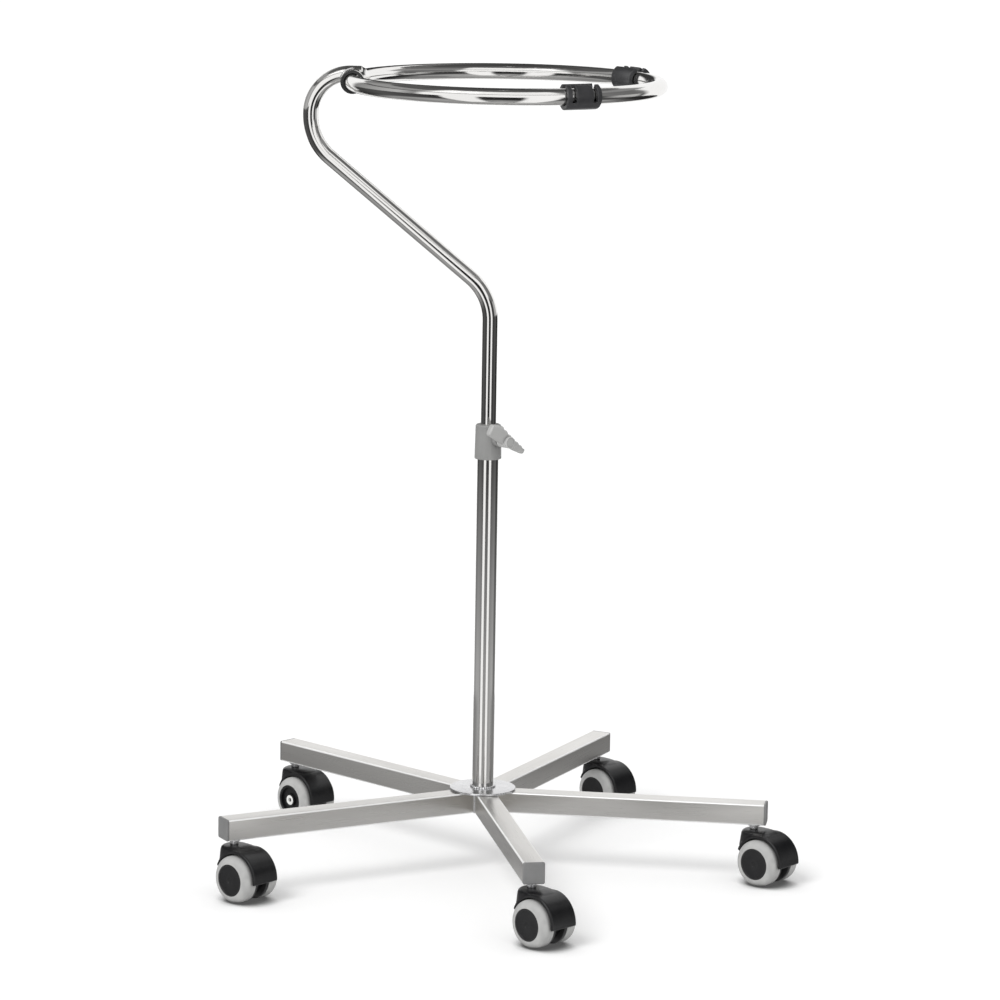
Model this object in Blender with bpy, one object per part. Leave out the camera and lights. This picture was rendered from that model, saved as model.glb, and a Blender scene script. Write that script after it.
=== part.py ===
"""Mobile single-basin stand: a ring on a bent mast that slides and turns in a column, on five hooded castors.

The origin is on the floor under the column's axis, +Z is up and the stand's front is towards -Y.
Every length is in metres.
"""

import math

import bmesh
import bpy
from mathutils import Matrix, Vector

MM = 0.001

# Gaps between pieces that touch or run in each other
GAP = 0.3 * MM
RING_GAP = 0.65 * MM

# Five-legged base
LEG_NAMES = ("right", "rear_right", "rear_left", "left", "front")
FIRST_LEG_TURN = math.radians(-8)
BASE_REACH = 338.5 * MM
LEG_SIDE = 25 * MM
LEG_WALL = 1.5 * MM
LEG_CORNER = 2 * MM
LEG_UNDERSIDE = 69 * MM
CAP_LIP = 3 * MM
CAP_EDGE = 1.2 * MM
HUB_PLATE_RADIUS = 39 * MM
HUB_PLATE_THICKNESS = 2.5 * MM
WELD_BEAD = 2.6 * MM

# Column and mast tubes
COLUMN_RADIUS = 12.5 * MM
COLUMN_WALL = 1.5 * MM
COLUMN_LENGTH = 408 * MM
MAST_RADIUS = 9 * MM
MAST_WALL = 1.2 * MM
MAST_TURN = math.radians(-5.5)
MAST_FOOT_HEIGHT = 240 * MM
BUSH_LENGTH = 30 * MM
BUSH_FLOOR = 3 * MM

# The mast's bends, along its centre line
LOWER_CORNER_HEIGHT = 685 * MM
DIAGONAL_RISE = math.radians(39.3)
BEND_RADIUS = 63 * MM
HOOK_REACH = 212.8 * MM
HOOK_STRAIGHT = 2 * MM
HOOK_RADIUS = 47 * MM
HOOK_END_STRAIGHT = 3 * MM
MAST_OVER_RING = 7.5 * MM

# Ring, its socket sleeve and its grip clips
RING_RADIUS = 177 * MM
RING_TUBE_RADIUS = 9.5 * MM
RING_WALL = 1.2 * MM
RING_END_GAP = 2 * MM
SLEEVE_LENGTH = 56 * MM
SLEEVE_RADIUS = 14 * MM
SLEEVE_WALL = 1.8 * MM
RING_BUSH_FLANGE = 6 * MM
RING_BUSH_SPIGOT = 14 * MM
RING_BUSH_EDGE = 1 * MM
MAST_END_PAST_SLEEVE = 10 * MM
CLIP_TURNS = {"clip_front": math.radians(-56.9), "clip_rear": math.radians(39.3)}
CLIP_LENGTH = 40 * MM
CLIP_RADIUS = 15 * MM
CLIP_EAR_LENGTH = 6.5 * MM
CLIP_SLOT_WIDTH = 4 * MM
CLIP_SLOT_FLOOR = -6 * MM
CLIP_PAD_TOP = math.radians(112.5)
CLIP_FINGER_TOP = math.radians(427.5)

# Height clamp
COLLAR_SKIRT = 13 * MM
COLLAR_HEIGHT = 40.5 * MM
COLLAR_FOOT_RADIUS = 15.8 * MM
COLLAR_TOP_RADIUS = 15 * MM
COLLAR_FOOT_EDGE = 0.6 * MM
COLLAR_TOP_EDGE = 2.2 * MM
CLAMP_TURN = math.radians(-48)
CLAMP_OVER_COLUMN = 10.5 * MM
CLAMP_BOSS_RADIUS = 7 * MM
CLAMP_BOSS_REACH = 20 * MM
SCREW_RADIUS = 4 * MM
PAD_LENGTH = 3.5 * MM
HANDLE_START = 22 * MM
HANDLE_LENGTH = 17 * MM
HANDLE_HUB_RADIUS = 7 * MM
HANDLE_FACE_RADIUS = 5.6 * MM
HANDLE_BORE_DEPTH = 9 * MM
WING_OFFSET = 7.5 * MM
WING_TILT = math.radians(-31)
PADDLE_LENGTH = 30 * MM
PADDLE_END_WIDTH = 15 * MM
PADDLE_BELLY_WIDTH = 18.5 * MM
PADDLE_LIFT = 4.2 * MM
TAIL_LENGTH = 31 * MM
TAIL_ROOT_WIDTH = 15 * MM
TAIL_TIP_WIDTH = 7 * MM
TAIL_LIFT = 2 * MM
WING_ROOT_THICKNESS = 13.5 * MM
WING_TIP_THICKNESS = 8 * MM

# Hooded twin-wheel castors
CASTOR_HEADINGS = {
    "right": math.radians(-40),
    "rear_right": math.radians(-45),
    "rear_left": math.radians(-47),
    "left": math.radians(-43),
    "front": math.radians(-46),
}
STEM_INSET = 15 * MM
STEM_RADIUS = 5 * MM
STEM_FLANGE_RADIUS = 7 * MM
STEM_FLANGE_THICKNESS = 2.5 * MM
STEM_THREAD = 12 * MM
STEM_PIN_RADIUS = 3.7 * MM
STEM_PIN_LENGTH = 21 * MM
CASTOR_TRAIL = 20.7 * MM
WHEEL_RADIUS = 27.5 * MM
WHEEL_INNER = 6.8 * MM
WHEEL_OUTER = 27.2 * MM
TYRE_SHOULDER = 8.4 * MM
HUB_RADIUS = 18.4 * MM
HUB_RECESS = 0.3 * MM
HUB_CHAMFER = 0.7 * MM
HUB_CAP_THICKNESS = 5 * MM
AXLE_RADIUS = 3 * MM
HOOD_RADIUS = 33 * MM
HOOD_CLEARANCE = 1.1 * MM
HOOD_HALF_WIDTH = 18.5 * MM
HOOD_EDGE = 1.7 * MM
HOOD_TAIL_ANGLE = math.radians(-2.5)
HOOD_NOSE_ANGLE = math.radians(160)
HOOD_TOP = 34.6 * MM
HOOD_BOSS_HEIGHT = 20 * MM
HOOD_BOSS_FOOT_RADIUS = 16.5 * MM
HOOD_BOSS_TOP_RADIUS = 12.3 * MM
HOOD_BOSS_EDGE = 3 * MM
HOOD_BOSS_TAIL = 12.5 * MM
WEB_HALF_WIDTH = 6 * MM
WEB_RADIUS = 20 * MM
WEB_START_ANGLE = math.radians(165)
WEB_END_ANGLE = math.radians(340)

# How finely round shapes are divided
TURNED_SIDES = 24
WHEEL_SIDES = 20
SMALL_SIDES = 10
TUBE_SIDES = 14
BOSS_SIDES = 12
STEM_SIDES = 8
RING_STEPS = 48
BEND_STEPS = 5
HOOK_STEPS = 8
HOOD_STEPS = 9
SLEEVE_STEPS = 4
WEB_STEPS = 5
SMOOTH_ANGLE = math.radians(35)

# Heights and places that follow from the sizes above
LEG_TOP = LEG_UNDERSIDE + LEG_SIDE
LEG_END = BASE_REACH - CAP_LIP
LEG_SPACING = 2 * math.pi / len(LEG_NAMES)
STEM_PLACE = BASE_REACH - STEM_INSET
HUB_PLATE_TOP = LEG_TOP + GAP + HUB_PLATE_THICKNESS
COLUMN_FOOT = HUB_PLATE_TOP + GAP
COLUMN_TOP = COLUMN_FOOT + COLUMN_LENGTH
CLAMP_HEIGHT = COLUMN_TOP + CLAMP_OVER_COLUMN
BEND_TURN = math.pi / 2 - DIAGONAL_RISE
BEND_TANGENT = BEND_RADIUS * math.tan(BEND_TURN / 2)
UPPER_CORNER_HEIGHT = LOWER_CORNER_HEIGHT + HOOK_REACH * math.tan(DIAGONAL_RISE)
HOOK_START_HEIGHT = UPPER_CORNER_HEIGHT + BEND_TANGENT + HOOK_STRAIGHT
MAST_END_HEIGHT = HOOK_START_HEIGHT + HOOK_RADIUS
SLEEVE_PLACE = HOOK_RADIUS + HOOK_END_STRAIGHT - HOOK_REACH
RING_PLACE = Vector((SLEEVE_PLACE + RING_RADIUS, 0, MAST_END_HEIGHT - MAST_OVER_RING))
HOOD_TOP_HEIGHT = WHEEL_RADIUS + HOOD_TOP
TREAD_VERTEX_RADIUS = WHEEL_RADIUS / math.cos(math.pi / WHEEL_SIDES)

FINISHES = {
    "polished_steel": ((0.72, 0.72, 0.71), 0.12, 1.0),
    "brushed_steel": ((0.60, 0.59, 0.57), 0.34, 1.0),
    "zinc": ((0.62, 0.62, 0.62), 0.30, 1.0),
    "grey_plastic": ((0.28, 0.28, 0.28), 0.45, 0.0),
    "black_plastic": ((0.018, 0.018, 0.019), 0.32, 0.0),
    "grey_tread": ((0.42, 0.42, 0.42), 0.55, 0.0),
    "clip_plastic": ((0.035, 0.035, 0.037), 0.48, 0.0),
    "nylon": ((0.75, 0.74, 0.70), 0.50, 0.0),
}


def clear_scene():
    for existing in list(bpy.data.objects):
        bpy.data.objects.remove(existing)


def finish(name):
    """The named material, made when it is first asked for."""
    if name in bpy.data.materials:
        return bpy.data.materials[name]
    colour, roughness, metallic = FINISHES[name]
    material = bpy.data.materials.new(name)
    material.use_nodes = True
    shader = material.node_tree.nodes["Principled BSDF"]
    shader.inputs["Base Color"].default_value = (*colour, 1)
    shader.inputs["Roughness"].default_value = roughness
    shader.inputs["Metallic"].default_value = metallic
    return material


def empty(name, parent=None, location=(0, 0, 0), turn=0.0):
    """A frame that pieces are placed in, turned about the vertical."""
    frame = bpy.data.objects.new(name, None)
    frame.parent = parent
    frame.location = location
    frame.rotation_euler.z = turn
    bpy.context.scene.collection.objects.link(frame)
    return frame


def shape(name, mesh_builder):
    """An object made from a bmesh, not yet placed or finished."""
    bmesh.ops.recalc_face_normals(mesh_builder, faces=mesh_builder.faces)
    mesh = bpy.data.meshes.new(name)
    mesh_builder.to_mesh(mesh)
    mesh_builder.free()
    body = bpy.data.objects.new(name, mesh)
    bpy.context.scene.collection.objects.link(body)
    return body


def combined(body, *steps):
    """Runs Booleans on a shape, given as (operation, tool) pairs, and keeps only the result."""
    for operation, tool in steps:
        modifier = body.modifiers.new(operation, "BOOLEAN")
        modifier.operation = operation
        modifier.solver = "EXACT"
        modifier.object = tool
    bpy.context.view_layer.update()
    graph = bpy.context.evaluated_depsgraph_get()
    result = bpy.data.meshes.new_from_object(body.evaluated_get(graph))
    body.modifiers.clear()
    body.data = result
    for _, tool in steps:
        bpy.data.objects.remove(tool)
    return body


def place(body, finish_name, parent, location=(0, 0, 0), turn=0.0):
    """Gives a shape its finish, smooth shading and place."""
    body.data.materials.clear()
    body.data.materials.append(finish(finish_name))
    body.data.shade_smooth()
    body.data.set_sharp_from_angle(angle=SMOOTH_ANGLE)
    body.parent = parent
    body.location = location
    body.rotation_euler.z = turn
    return body


def copy_of(body, name):
    """A second object that shares a shape's mesh."""
    twin = bpy.data.objects.new(name, body.data)
    bpy.context.scene.collection.objects.link(twin)
    return twin


def join_loops(mesh_builder, first, second):
    """Faces between two loops of points, which may hold one point many times where they meet the axis."""
    for i, corner in enumerate(first):
        j = (i + 1) % len(first)
        corners = list(dict.fromkeys((corner, first[j], second[j], second[i])))
        if len(corners) > 2:
            mesh_builder.faces.new(corners)


def turned(profile, sides, phase=0.0):
    """A closed (radius, height) outline turned about Z."""
    builder = bmesh.new()
    loops = []
    for radius, height in profile:
        if radius == 0:
            loops.append([builder.verts.new((0, 0, height))] * sides)
            continue
        angles = [phase + 2 * math.pi * i / sides for i in range(sides)]
        points = [(radius * math.cos(a), radius * math.sin(a), height) for a in angles]
        loops.append([builder.verts.new(point) for point in points])
    for first, second in zip(loops, loops[1:] + loops[:1]):
        join_loops(builder, first, second)
    return builder


def rod(radius, low, high, sides=SMALL_SIDES):
    return turned([(0, low), (radius, low), (radius, high), (0, high)], sides)


def lofted(loops):
    """A solid through loops of equally many points, closed at both ends."""
    builder = bmesh.new()
    rings = [[builder.verts.new(point) for point in loop] for loop in loops]
    for first, second in zip(rings, rings[1:]):
        join_loops(builder, first, second)
    builder.faces.new(rings[0])
    builder.faces.new(rings[-1])
    return builder


def open_tube(outer_loops, inner_loops):
    """A tube that is open at both ends; an outer loop may hold a multiple of its inner loop's points."""
    builder = bmesh.new()
    outer = [[builder.verts.new(point) for point in loop] for loop in outer_loops]
    inner = [[builder.verts.new(point) for point in loop] for loop in inner_loops]
    for rings in (outer, inner):
        for first, second in zip(rings, rings[1:]):
            join_loops(builder, first, second)
    rim(builder, outer[0], inner[0])
    rim(builder, outer[-1], inner[-1])
    return builder


def blind_tube(outer_loops, inner_loops):
    """A tube that is open where both lists start, and solid past the last inner loop."""
    builder = bmesh.new()
    outer = [[builder.verts.new(point) for point in loop] for loop in outer_loops]
    inner = [[builder.verts.new(point) for point in loop] for loop in inner_loops]
    for rings in (outer, inner):
        for first, second in zip(rings, rings[1:]):
            join_loops(builder, first, second)
        builder.faces.new(rings[-1])
    rim(builder, outer[0], inner[0])
    return builder


def rim(builder, outer, inner):
    """The flat end face between a tube's outer and inner loops."""
    ratio = len(outer) // len(inner)
    for i, corner in enumerate(inner):
        following = inner[(i + 1) % len(inner)]
        edge = [outer[(ratio * i + k) % len(outer)] for k in range(ratio + 1)]
        builder.faces.new(edge + [following, corner])


def circle_loop(centre, across, up, radius, sides):
    angles = [2 * math.pi * i / sides for i in range(sides)]
    return [centre + across * radius * math.cos(a) + up * radius * math.sin(a) for a in angles]


def arc(radius, start, end, steps):
    angles = [start + (end - start) * i / steps for i in range(steps + 1)]
    return [(radius * math.cos(a), radius * math.sin(a)) for a in angles]


def rounded_square(side, corner, steps=2):
    """A square outline with round corners and a point in the middle of its top and bottom."""
    half = side / 2
    outline = []
    for quarter in range(4):
        start = quarter * math.pi / 2
        middle = start + math.pi / 4
        centre_y = math.copysign(half - corner, math.cos(middle))
        centre_z = math.copysign(half - corner, math.sin(middle))
        for i in range(steps + 1):
            angle = start + math.pi / 2 * i / steps
            outline.append((centre_y + corner * math.cos(angle), centre_z + corner * math.sin(angle)))
        if quarter % 2 == 0:
            outline.append((0.0, math.copysign(half, math.sin(middle))))
    return outline


def leg_shape():
    """A square tube along +X whose inner end is mitred to lie against both neighbours."""
    miter = 1 / math.tan(LEG_SPACING / 2)
    tip = GAP / 2 / math.sin(LEG_SPACING / 2)
    height = LEG_UNDERSIDE + LEG_SIDE / 2
    loops = []
    for side, corner in ((LEG_SIDE, LEG_CORNER), (LEG_SIDE - 2 * LEG_WALL, LEG_CORNER / 2)):
        outline = rounded_square(side, corner)
        mitred = [(tip + abs(y) * miter, y, z + height) for y, z in outline]
        square_cut = [(LEG_END, y, z + height) for y, z in outline]
        loops.append([mitred, square_cut])
    body = shape("leg", open_tube(*loops))
    hole = shape("stem_hole", rod(STEM_RADIUS + GAP, -LEG_WALL, 2 * LEG_WALL))
    hole.location = (STEM_PLACE, 0, LEG_UNDERSIDE)
    return combined(body, ("DIFFERENCE", hole))


def end_cap_shape():
    """A square cap with a short plug that grips inside the leg's end, clear of the castor stem."""
    height = LEG_UNDERSIDE + LEG_SIDE / 2
    plug_side = LEG_SIDE - 2 * LEG_WALL - 2 * GAP
    plug_end = STEM_PLACE + STEM_RADIUS + 3 * GAP
    lip_start = LEG_END + GAP
    plug = rounded_square(plug_side, LEG_CORNER / 2)
    lip = rounded_square(LEG_SIDE, LEG_CORNER)
    face = rounded_square(LEG_SIDE - 2 * CAP_EDGE, LEG_CORNER)
    sections = (
        (plug, plug_end),
        (plug, lip_start),
        (lip, lip_start),
        (lip, BASE_REACH - CAP_EDGE),
        (face, BASE_REACH),
    )
    return shape("end_cap", lofted([[(x, y, z + height) for y, z in outline] for outline, x in sections]))


def hub_plate_shape():
    """The round plate over the legs, with the weld bead that rings the column's foot."""
    low = LEG_TOP + GAP
    bead_inner = COLUMN_RADIUS + GAP
    bead_outer = bead_inner + WELD_BEAD
    bead_top = HUB_PLATE_TOP + WELD_BEAD
    bead_waist = WELD_BEAD * math.cos(math.pi / 4)
    return shape("hub_plate", turned([
        (0, low),
        (HUB_PLATE_RADIUS, low),
        (HUB_PLATE_RADIUS, HUB_PLATE_TOP),
        (bead_outer, HUB_PLATE_TOP),
        (bead_inner + bead_waist, HUB_PLATE_TOP + bead_waist),
        (bead_inner, bead_top),
        (bead_inner, HUB_PLATE_TOP),
        (0, HUB_PLATE_TOP),
    ], TURNED_SIDES))


def column_shape():
    bore = COLUMN_RADIUS - COLUMN_WALL
    return shape("column", turned([
        (bore, COLUMN_FOOT),
        (COLUMN_RADIUS, COLUMN_FOOT),
        (COLUMN_RADIUS, COLUMN_TOP),
        (bore, COLUMN_TOP),
    ], TURNED_SIDES))


def build_base(base):
    leg = leg_shape()
    cap = end_cap_shape()
    for i, name in enumerate(LEG_NAMES):
        turn = FIRST_LEG_TURN + i * LEG_SPACING
        place(copy_of(leg, f"leg_{name}"), "brushed_steel", base, turn=turn)
        place(copy_of(cap, f"end_cap_{name}"), "grey_plastic", base, turn=turn)
    for pattern in (leg, cap):
        bpy.data.objects.remove(pattern)
    place(hub_plate_shape(), "polished_steel", base)
    place(column_shape(), "polished_steel", base)


def lying(body):
    """Turns a shape's mesh from standing on Z to lying along X."""
    body.data.transform(Matrix.Rotation(math.pi / 2, 4, "Y"))
    return body


def collar_shape():
    """The moulded collar: a skirt over the column, a throat round the mast and a boss for the clamp screw."""
    foot = -CLAMP_OVER_COLUMN - COLLAR_SKIRT
    top = foot + COLLAR_HEIGHT
    shoulder = GAP - CLAMP_OVER_COLUMN
    socket = COLUMN_RADIUS + GAP
    throat = MAST_RADIUS + GAP
    edge_centre = COLLAR_TOP_RADIUS - COLLAR_TOP_EDGE
    body = shape("clamp_collar", turned([
        (socket, foot),
        (COLLAR_FOOT_RADIUS - COLLAR_FOOT_EDGE, foot),
        (COLLAR_FOOT_RADIUS, foot + COLLAR_FOOT_EDGE),
        *((edge_centre + u, top - COLLAR_TOP_EDGE + v) for u, v in arc(COLLAR_TOP_EDGE, 0, math.pi / 2, 2)),
        (throat, top),
        (throat, shoulder),
        (socket, shoulder),
    ], TURNED_SIDES))
    boss_start = (throat + COLLAR_TOP_RADIUS) / 2
    boss = lying(shape("boss", rod(CLAMP_BOSS_RADIUS, boss_start, CLAMP_BOSS_REACH, TUBE_SIDES)))
    bore = lying(shape("bore", rod(SCREW_RADIUS + GAP, 0, 2 * CLAMP_BOSS_REACH)))
    return combined(body, ("UNION", boss), ("DIFFERENCE", bore))


def wing_loop(along, lift, width, thickness, middle, sides=SMALL_SIDES):
    """A rounded section of the wing handle, at a distance along the wings and lifted to their upper side."""
    loop = []
    for i in range(sides):
        angle = 2 * math.pi * (i + 0.5) / sides
        across = math.copysign(abs(math.cos(angle)) ** 0.6, math.cos(angle)) * width / 2
        out = math.copysign(abs(math.sin(angle)) ** 0.6, math.sin(angle)) * thickness / 2
        loop.append((across - lift, along, middle + out))
    return loop


def wing_sections():
    """The wings from the paddle's end to the tail's tip: (along, lift, width, thickness)."""
    middle_thickness = (WING_ROOT_THICKNESS + WING_TIP_THICKNESS) / 2
    tail_width = (TAIL_ROOT_WIDTH + TAIL_TIP_WIDTH) / 2
    rounding = WING_TIP_THICKNESS / 4
    return (
        (-PADDLE_LENGTH, TAIL_LIFT, PADDLE_END_WIDTH - 2 * rounding, WING_TIP_THICKNESS - 2 * rounding),
        (-PADDLE_LENGTH + rounding, TAIL_LIFT, PADDLE_END_WIDTH, WING_TIP_THICKNESS),
        (-PADDLE_LENGTH / 2, PADDLE_LIFT, PADDLE_BELLY_WIDTH, middle_thickness),
        (0, TAIL_LIFT, TAIL_ROOT_WIDTH, WING_ROOT_THICKNESS),
        (TAIL_LENGTH / 2, TAIL_LIFT, tail_width, middle_thickness),
        (TAIL_LENGTH - rounding, TAIL_LIFT, TAIL_TIP_WIDTH, WING_TIP_THICKNESS),
        (TAIL_LENGTH, TAIL_LIFT, TAIL_TIP_WIDTH - 2 * rounding, WING_TIP_THICKNESS - 2 * rounding),
    )


def wing_handle_shape():
    """A hub with a broad paddle and a slim tail, moulded over the clamp screw's head."""
    end = HANDLE_START + HANDLE_LENGTH
    dome = (HANDLE_HUB_RADIUS - HANDLE_FACE_RADIUS) / 2
    hub = shape("wing_handle", turned([
        (0, HANDLE_START),
        (HANDLE_HUB_RADIUS - dome, HANDLE_START),
        (HANDLE_HUB_RADIUS, HANDLE_START + dome),
        (HANDLE_FACE_RADIUS + dome, end - dome),
        (HANDLE_FACE_RADIUS, end),
        (0, end),
    ], TUBE_SIDES))
    middle = HANDLE_START + WING_OFFSET
    wings = shape("wings", lofted([wing_loop(*section, middle) for section in wing_sections()]))
    wings.data.transform(Matrix.Rotation(WING_TILT, 4, "Z"))
    bore_start = HANDLE_START - HANDLE_BORE_DEPTH
    bore_end = HANDLE_START + HANDLE_BORE_DEPTH
    bore = shape("bore", rod(SCREW_RADIUS + GAP, bore_start, bore_end))
    return lying(combined(hub, ("UNION", wings), ("DIFFERENCE", bore)))


def build_clamp(base):
    clamp = empty("clamp_axis", base, (0, 0, CLAMP_HEIGHT), CLAMP_TURN)
    pad_start = MAST_RADIUS + GAP
    screw_start = pad_start + PAD_LENGTH + GAP
    screw_end = HANDLE_START + HANDLE_BORE_DEPTH - GAP
    place(collar_shape(), "grey_plastic", clamp)
    place(wing_handle_shape(), "grey_plastic", clamp)
    place(lying(shape("clamp_screw", rod(SCREW_RADIUS, screw_start, screw_end))), "zinc", clamp)
    place(lying(shape("clamp_pad", rod(SCREW_RADIUS, pad_start, pad_start + PAD_LENGTH))), "nylon", clamp)


def mast_stations():
    """Points on the mast's centre line from its foot to its end, each with its heading from +X towards +Z."""
    stations = [(0.0, MAST_FOOT_HEIGHT, math.pi / 2)]
    low = LOWER_CORNER_HEIGHT - BEND_TANGENT
    for i in range(BEND_STEPS + 1):
        angle = BEND_TURN * i / BEND_STEPS
        x = BEND_RADIUS * (math.cos(angle) - 1)
        stations.append((x, low + BEND_RADIUS * math.sin(angle), math.pi / 2 + angle))
    high = UPPER_CORNER_HEIGHT + BEND_TANGENT
    for i in range(BEND_STEPS + 1):
        angle = math.pi + BEND_TURN * (1 - i / BEND_STEPS)
        x = BEND_RADIUS * (1 + math.cos(angle)) - HOOK_REACH
        stations.append((x, high + BEND_RADIUS * math.sin(angle), angle - math.pi / 2))
    for i in range(HOOK_STEPS + 1):
        angle = math.pi - math.pi / 2 * i / HOOK_STEPS
        x = HOOK_RADIUS * (1 + math.cos(angle)) - HOOK_REACH
        stations.append((x, HOOK_START_HEIGHT + HOOK_RADIUS * math.sin(angle), angle - math.pi / 2))
    stations.append((SLEEVE_PLACE + MAST_END_PAST_SLEEVE, MAST_END_HEIGHT, 0.0))
    return stations


def mast_loops(stations, radius, sides):
    loops = []
    for x, z, heading in stations:
        across = Vector((-math.sin(heading), 0, math.cos(heading)))
        loops.append(circle_loop(Vector((x, 0, z)), across, Vector((0, 1, 0)), radius, sides))
    return loops


def ring_section(angle, radius, sides=TUBE_SIDES):
    """A round section across the ring's centre line."""
    outward = Vector((math.cos(angle), math.sin(angle), 0))
    return circle_loop(RING_PLACE + outward * RING_RADIUS, outward, Vector((0, 0, 1)), radius, sides)


def ring_loops(start, end, steps, radius, sides=TUBE_SIDES):
    """Sections of a tube that runs round the ring's centre line."""
    angles = [start + (end - start) * i / steps for i in range(steps + 1)]
    return [ring_section(angle, radius, sides) for angle in angles]


def sleeve_loops(radius, spans=1):
    """Sections along the sleeve, or along a longer piece of the same curve with the same facets."""
    half = spans * SLEEVE_LENGTH / RING_RADIUS / 2
    return ring_loops(math.pi - half, math.pi + half, spans * SLEEVE_STEPS, radius)


def sleeve_shape():
    bore = SLEEVE_RADIUS - SLEEVE_WALL
    return shape("ring_sleeve", open_tube(sleeve_loops(SLEEVE_RADIUS), sleeve_loops(bore)))


def ring_bush_shape(name, side):
    """A plastic bush in one end of the sleeve: it grips the ring's tube and covers the sleeve's rim."""
    flange_start = SLEEVE_LENGTH / 2 + GAP
    flange_end = flange_start + RING_BUSH_FLANGE
    spigot_end = SLEEVE_LENGTH / 2 - RING_BUSH_SPIGOT
    spigot_radius = SLEEVE_RADIUS - SLEEVE_WALL - GAP
    stations = (
        (flange_end, SLEEVE_RADIUS - RING_BUSH_EDGE),
        (flange_end - RING_BUSH_EDGE, SLEEVE_RADIUS),
        (flange_start, SLEEVE_RADIUS),
        (flange_start, spigot_radius),
        (spigot_end, spigot_radius),
    )
    outer = [ring_section(math.pi + side * along / RING_RADIUS, radius) for along, radius in stations]
    bore = RING_TUBE_RADIUS + RING_GAP
    inner = [ring_section(math.pi + side * along / RING_RADIUS, bore) for along in (flange_end, spigot_end)]
    return shape(name, open_tube(outer, inner))


def mast_shape():
    """The bent tube, solid where its end is coped to saddle the ring's sleeve."""
    stations = mast_stations()
    outer = mast_loops(stations, MAST_RADIUS, TUBE_SIDES)
    inner = mast_loops(stations[:-1], MAST_RADIUS - MAST_WALL, TUBE_SIDES // 2)
    body = shape("mast", blind_tube(outer, inner))
    cope = shape("cope", lofted(sleeve_loops(SLEEVE_RADIUS + GAP, spans=2)))
    return combined(body, ("DIFFERENCE", cope))


def ring_shape():
    """An open hoop of tube whose ends meet inside the sleeve."""
    half_gap = RING_END_GAP / RING_RADIUS / 2
    start, end = half_gap - math.pi, math.pi - half_gap
    outer = ring_loops(start, end, RING_STEPS, RING_TUBE_RADIUS)
    inner = ring_loops(start, end, RING_STEPS, RING_TUBE_RADIUS - RING_WALL, TUBE_SIDES // 2)
    return shape("ring", open_tube(outer, inner))


def clip_shape(name, turn):
    """A springy C that wraps the ring: a plain pad inside, and three slotted fingers outside."""
    half = CLIP_LENGTH / RING_RADIUS / 2
    steps = round((CLIP_FINGER_TOP - CLIP_PAD_TOP) * TUBE_SIDES / 2 / math.pi)
    angles = [CLIP_PAD_TOP + (CLIP_FINGER_TOP - CLIP_PAD_TOP) * i / steps for i in range(steps + 1)]
    bore = RING_TUBE_RADIUS + RING_GAP
    outline = [(CLIP_RADIUS * math.cos(a), CLIP_RADIUS * math.sin(a)) for a in angles]
    outline += [(bore * math.cos(a), bore * math.sin(a)) for a in reversed(angles)]
    loops = []
    for share in (-1, -0.5, 0, 0.5, 1):
        angle = turn + half * share
        outward = Vector((math.cos(angle), math.sin(angle), 0))
        middle = RING_PLACE + outward * RING_RADIUS
        loops.append([middle + outward * u + Vector((0, 0, v)) for u, v in outline])
    body = shape(name, lofted(loops))
    slot_angle = (CLIP_LENGTH / 2 - CLIP_EAR_LENGTH - CLIP_SLOT_WIDTH / 2) / RING_RADIUS
    slots = [("DIFFERENCE", clip_slot(turn + side * slot_angle)) for side in (-1, 1)]
    return combined(body, *slots)


def clip_slot(angle):
    """A box that cuts one slot between two fingers, from the top down the outer wall."""
    builder = bmesh.new()
    bmesh.ops.create_cube(builder, size=1)
    bmesh.ops.scale(builder, verts=builder.verts, vec=(2 * CLIP_RADIUS, CLIP_SLOT_WIDTH, 2 * CLIP_RADIUS))
    slot = shape("slot", builder)
    outward = Vector((math.cos(angle), math.sin(angle), 0))
    slot.location = RING_PLACE + outward * (RING_RADIUS + CLIP_RADIUS)
    slot.location.z += CLIP_SLOT_FLOOR + CLIP_RADIUS
    slot.rotation_euler.z = angle
    return slot


def bush_shape():
    """The cup on the mast's foot that guides it inside the column."""
    runner = COLUMN_RADIUS - COLUMN_WALL - GAP
    bore = MAST_RADIUS + GAP
    floor = MAST_FOOT_HEIGHT - GAP
    low = floor - BUSH_FLOOR
    return shape("guide_bush", turned([
        (0, low),
        (bore, low),
        (runner, low + BUSH_FLOOR / 2),
        (runner, low + BUSH_LENGTH),
        (bore, low + BUSH_LENGTH),
        (bore, floor),
        (0, floor),
    ], TUBE_SIDES))


def build_mast(base):
    axis = empty("mast_axis", base, turn=MAST_TURN)
    place(bush_shape(), "nylon", axis)
    place(mast_shape(), "polished_steel", axis)
    place(sleeve_shape(), "polished_steel", axis)
    place(ring_bush_shape("ring_bush_front", 1), "black_plastic", axis)
    place(ring_bush_shape("ring_bush_rear", -1), "black_plastic", axis)
    place(ring_shape(), "polished_steel", axis)
    for name, turn in CLIP_TURNS.items():
        place(clip_shape(name, turn), "clip_plastic", axis)


def stem_shape():
    """The castor's stem: a thread up into the leg, a flange under it and a pin down into the hood."""
    seat = LEG_UNDERSIDE - GAP
    flange = seat - STEM_FLANGE_THICKNESS
    shoulder = HOOD_TOP_HEIGHT + GAP
    pin_end = shoulder - STEM_PIN_LENGTH
    return shape("stem", turned([
        (0, pin_end),
        (STEM_PIN_RADIUS, pin_end),
        (STEM_PIN_RADIUS, shoulder),
        (STEM_RADIUS, shoulder),
        (STEM_RADIUS, flange),
        (STEM_FLANGE_RADIUS, flange),
        (STEM_FLANGE_RADIUS, seat),
        (STEM_RADIUS, seat),
        (STEM_RADIUS, LEG_UNDERSIDE + STEM_THREAD),
        (0, LEG_UNDERSIDE + STEM_THREAD),
    ], STEM_SIDES))


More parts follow.
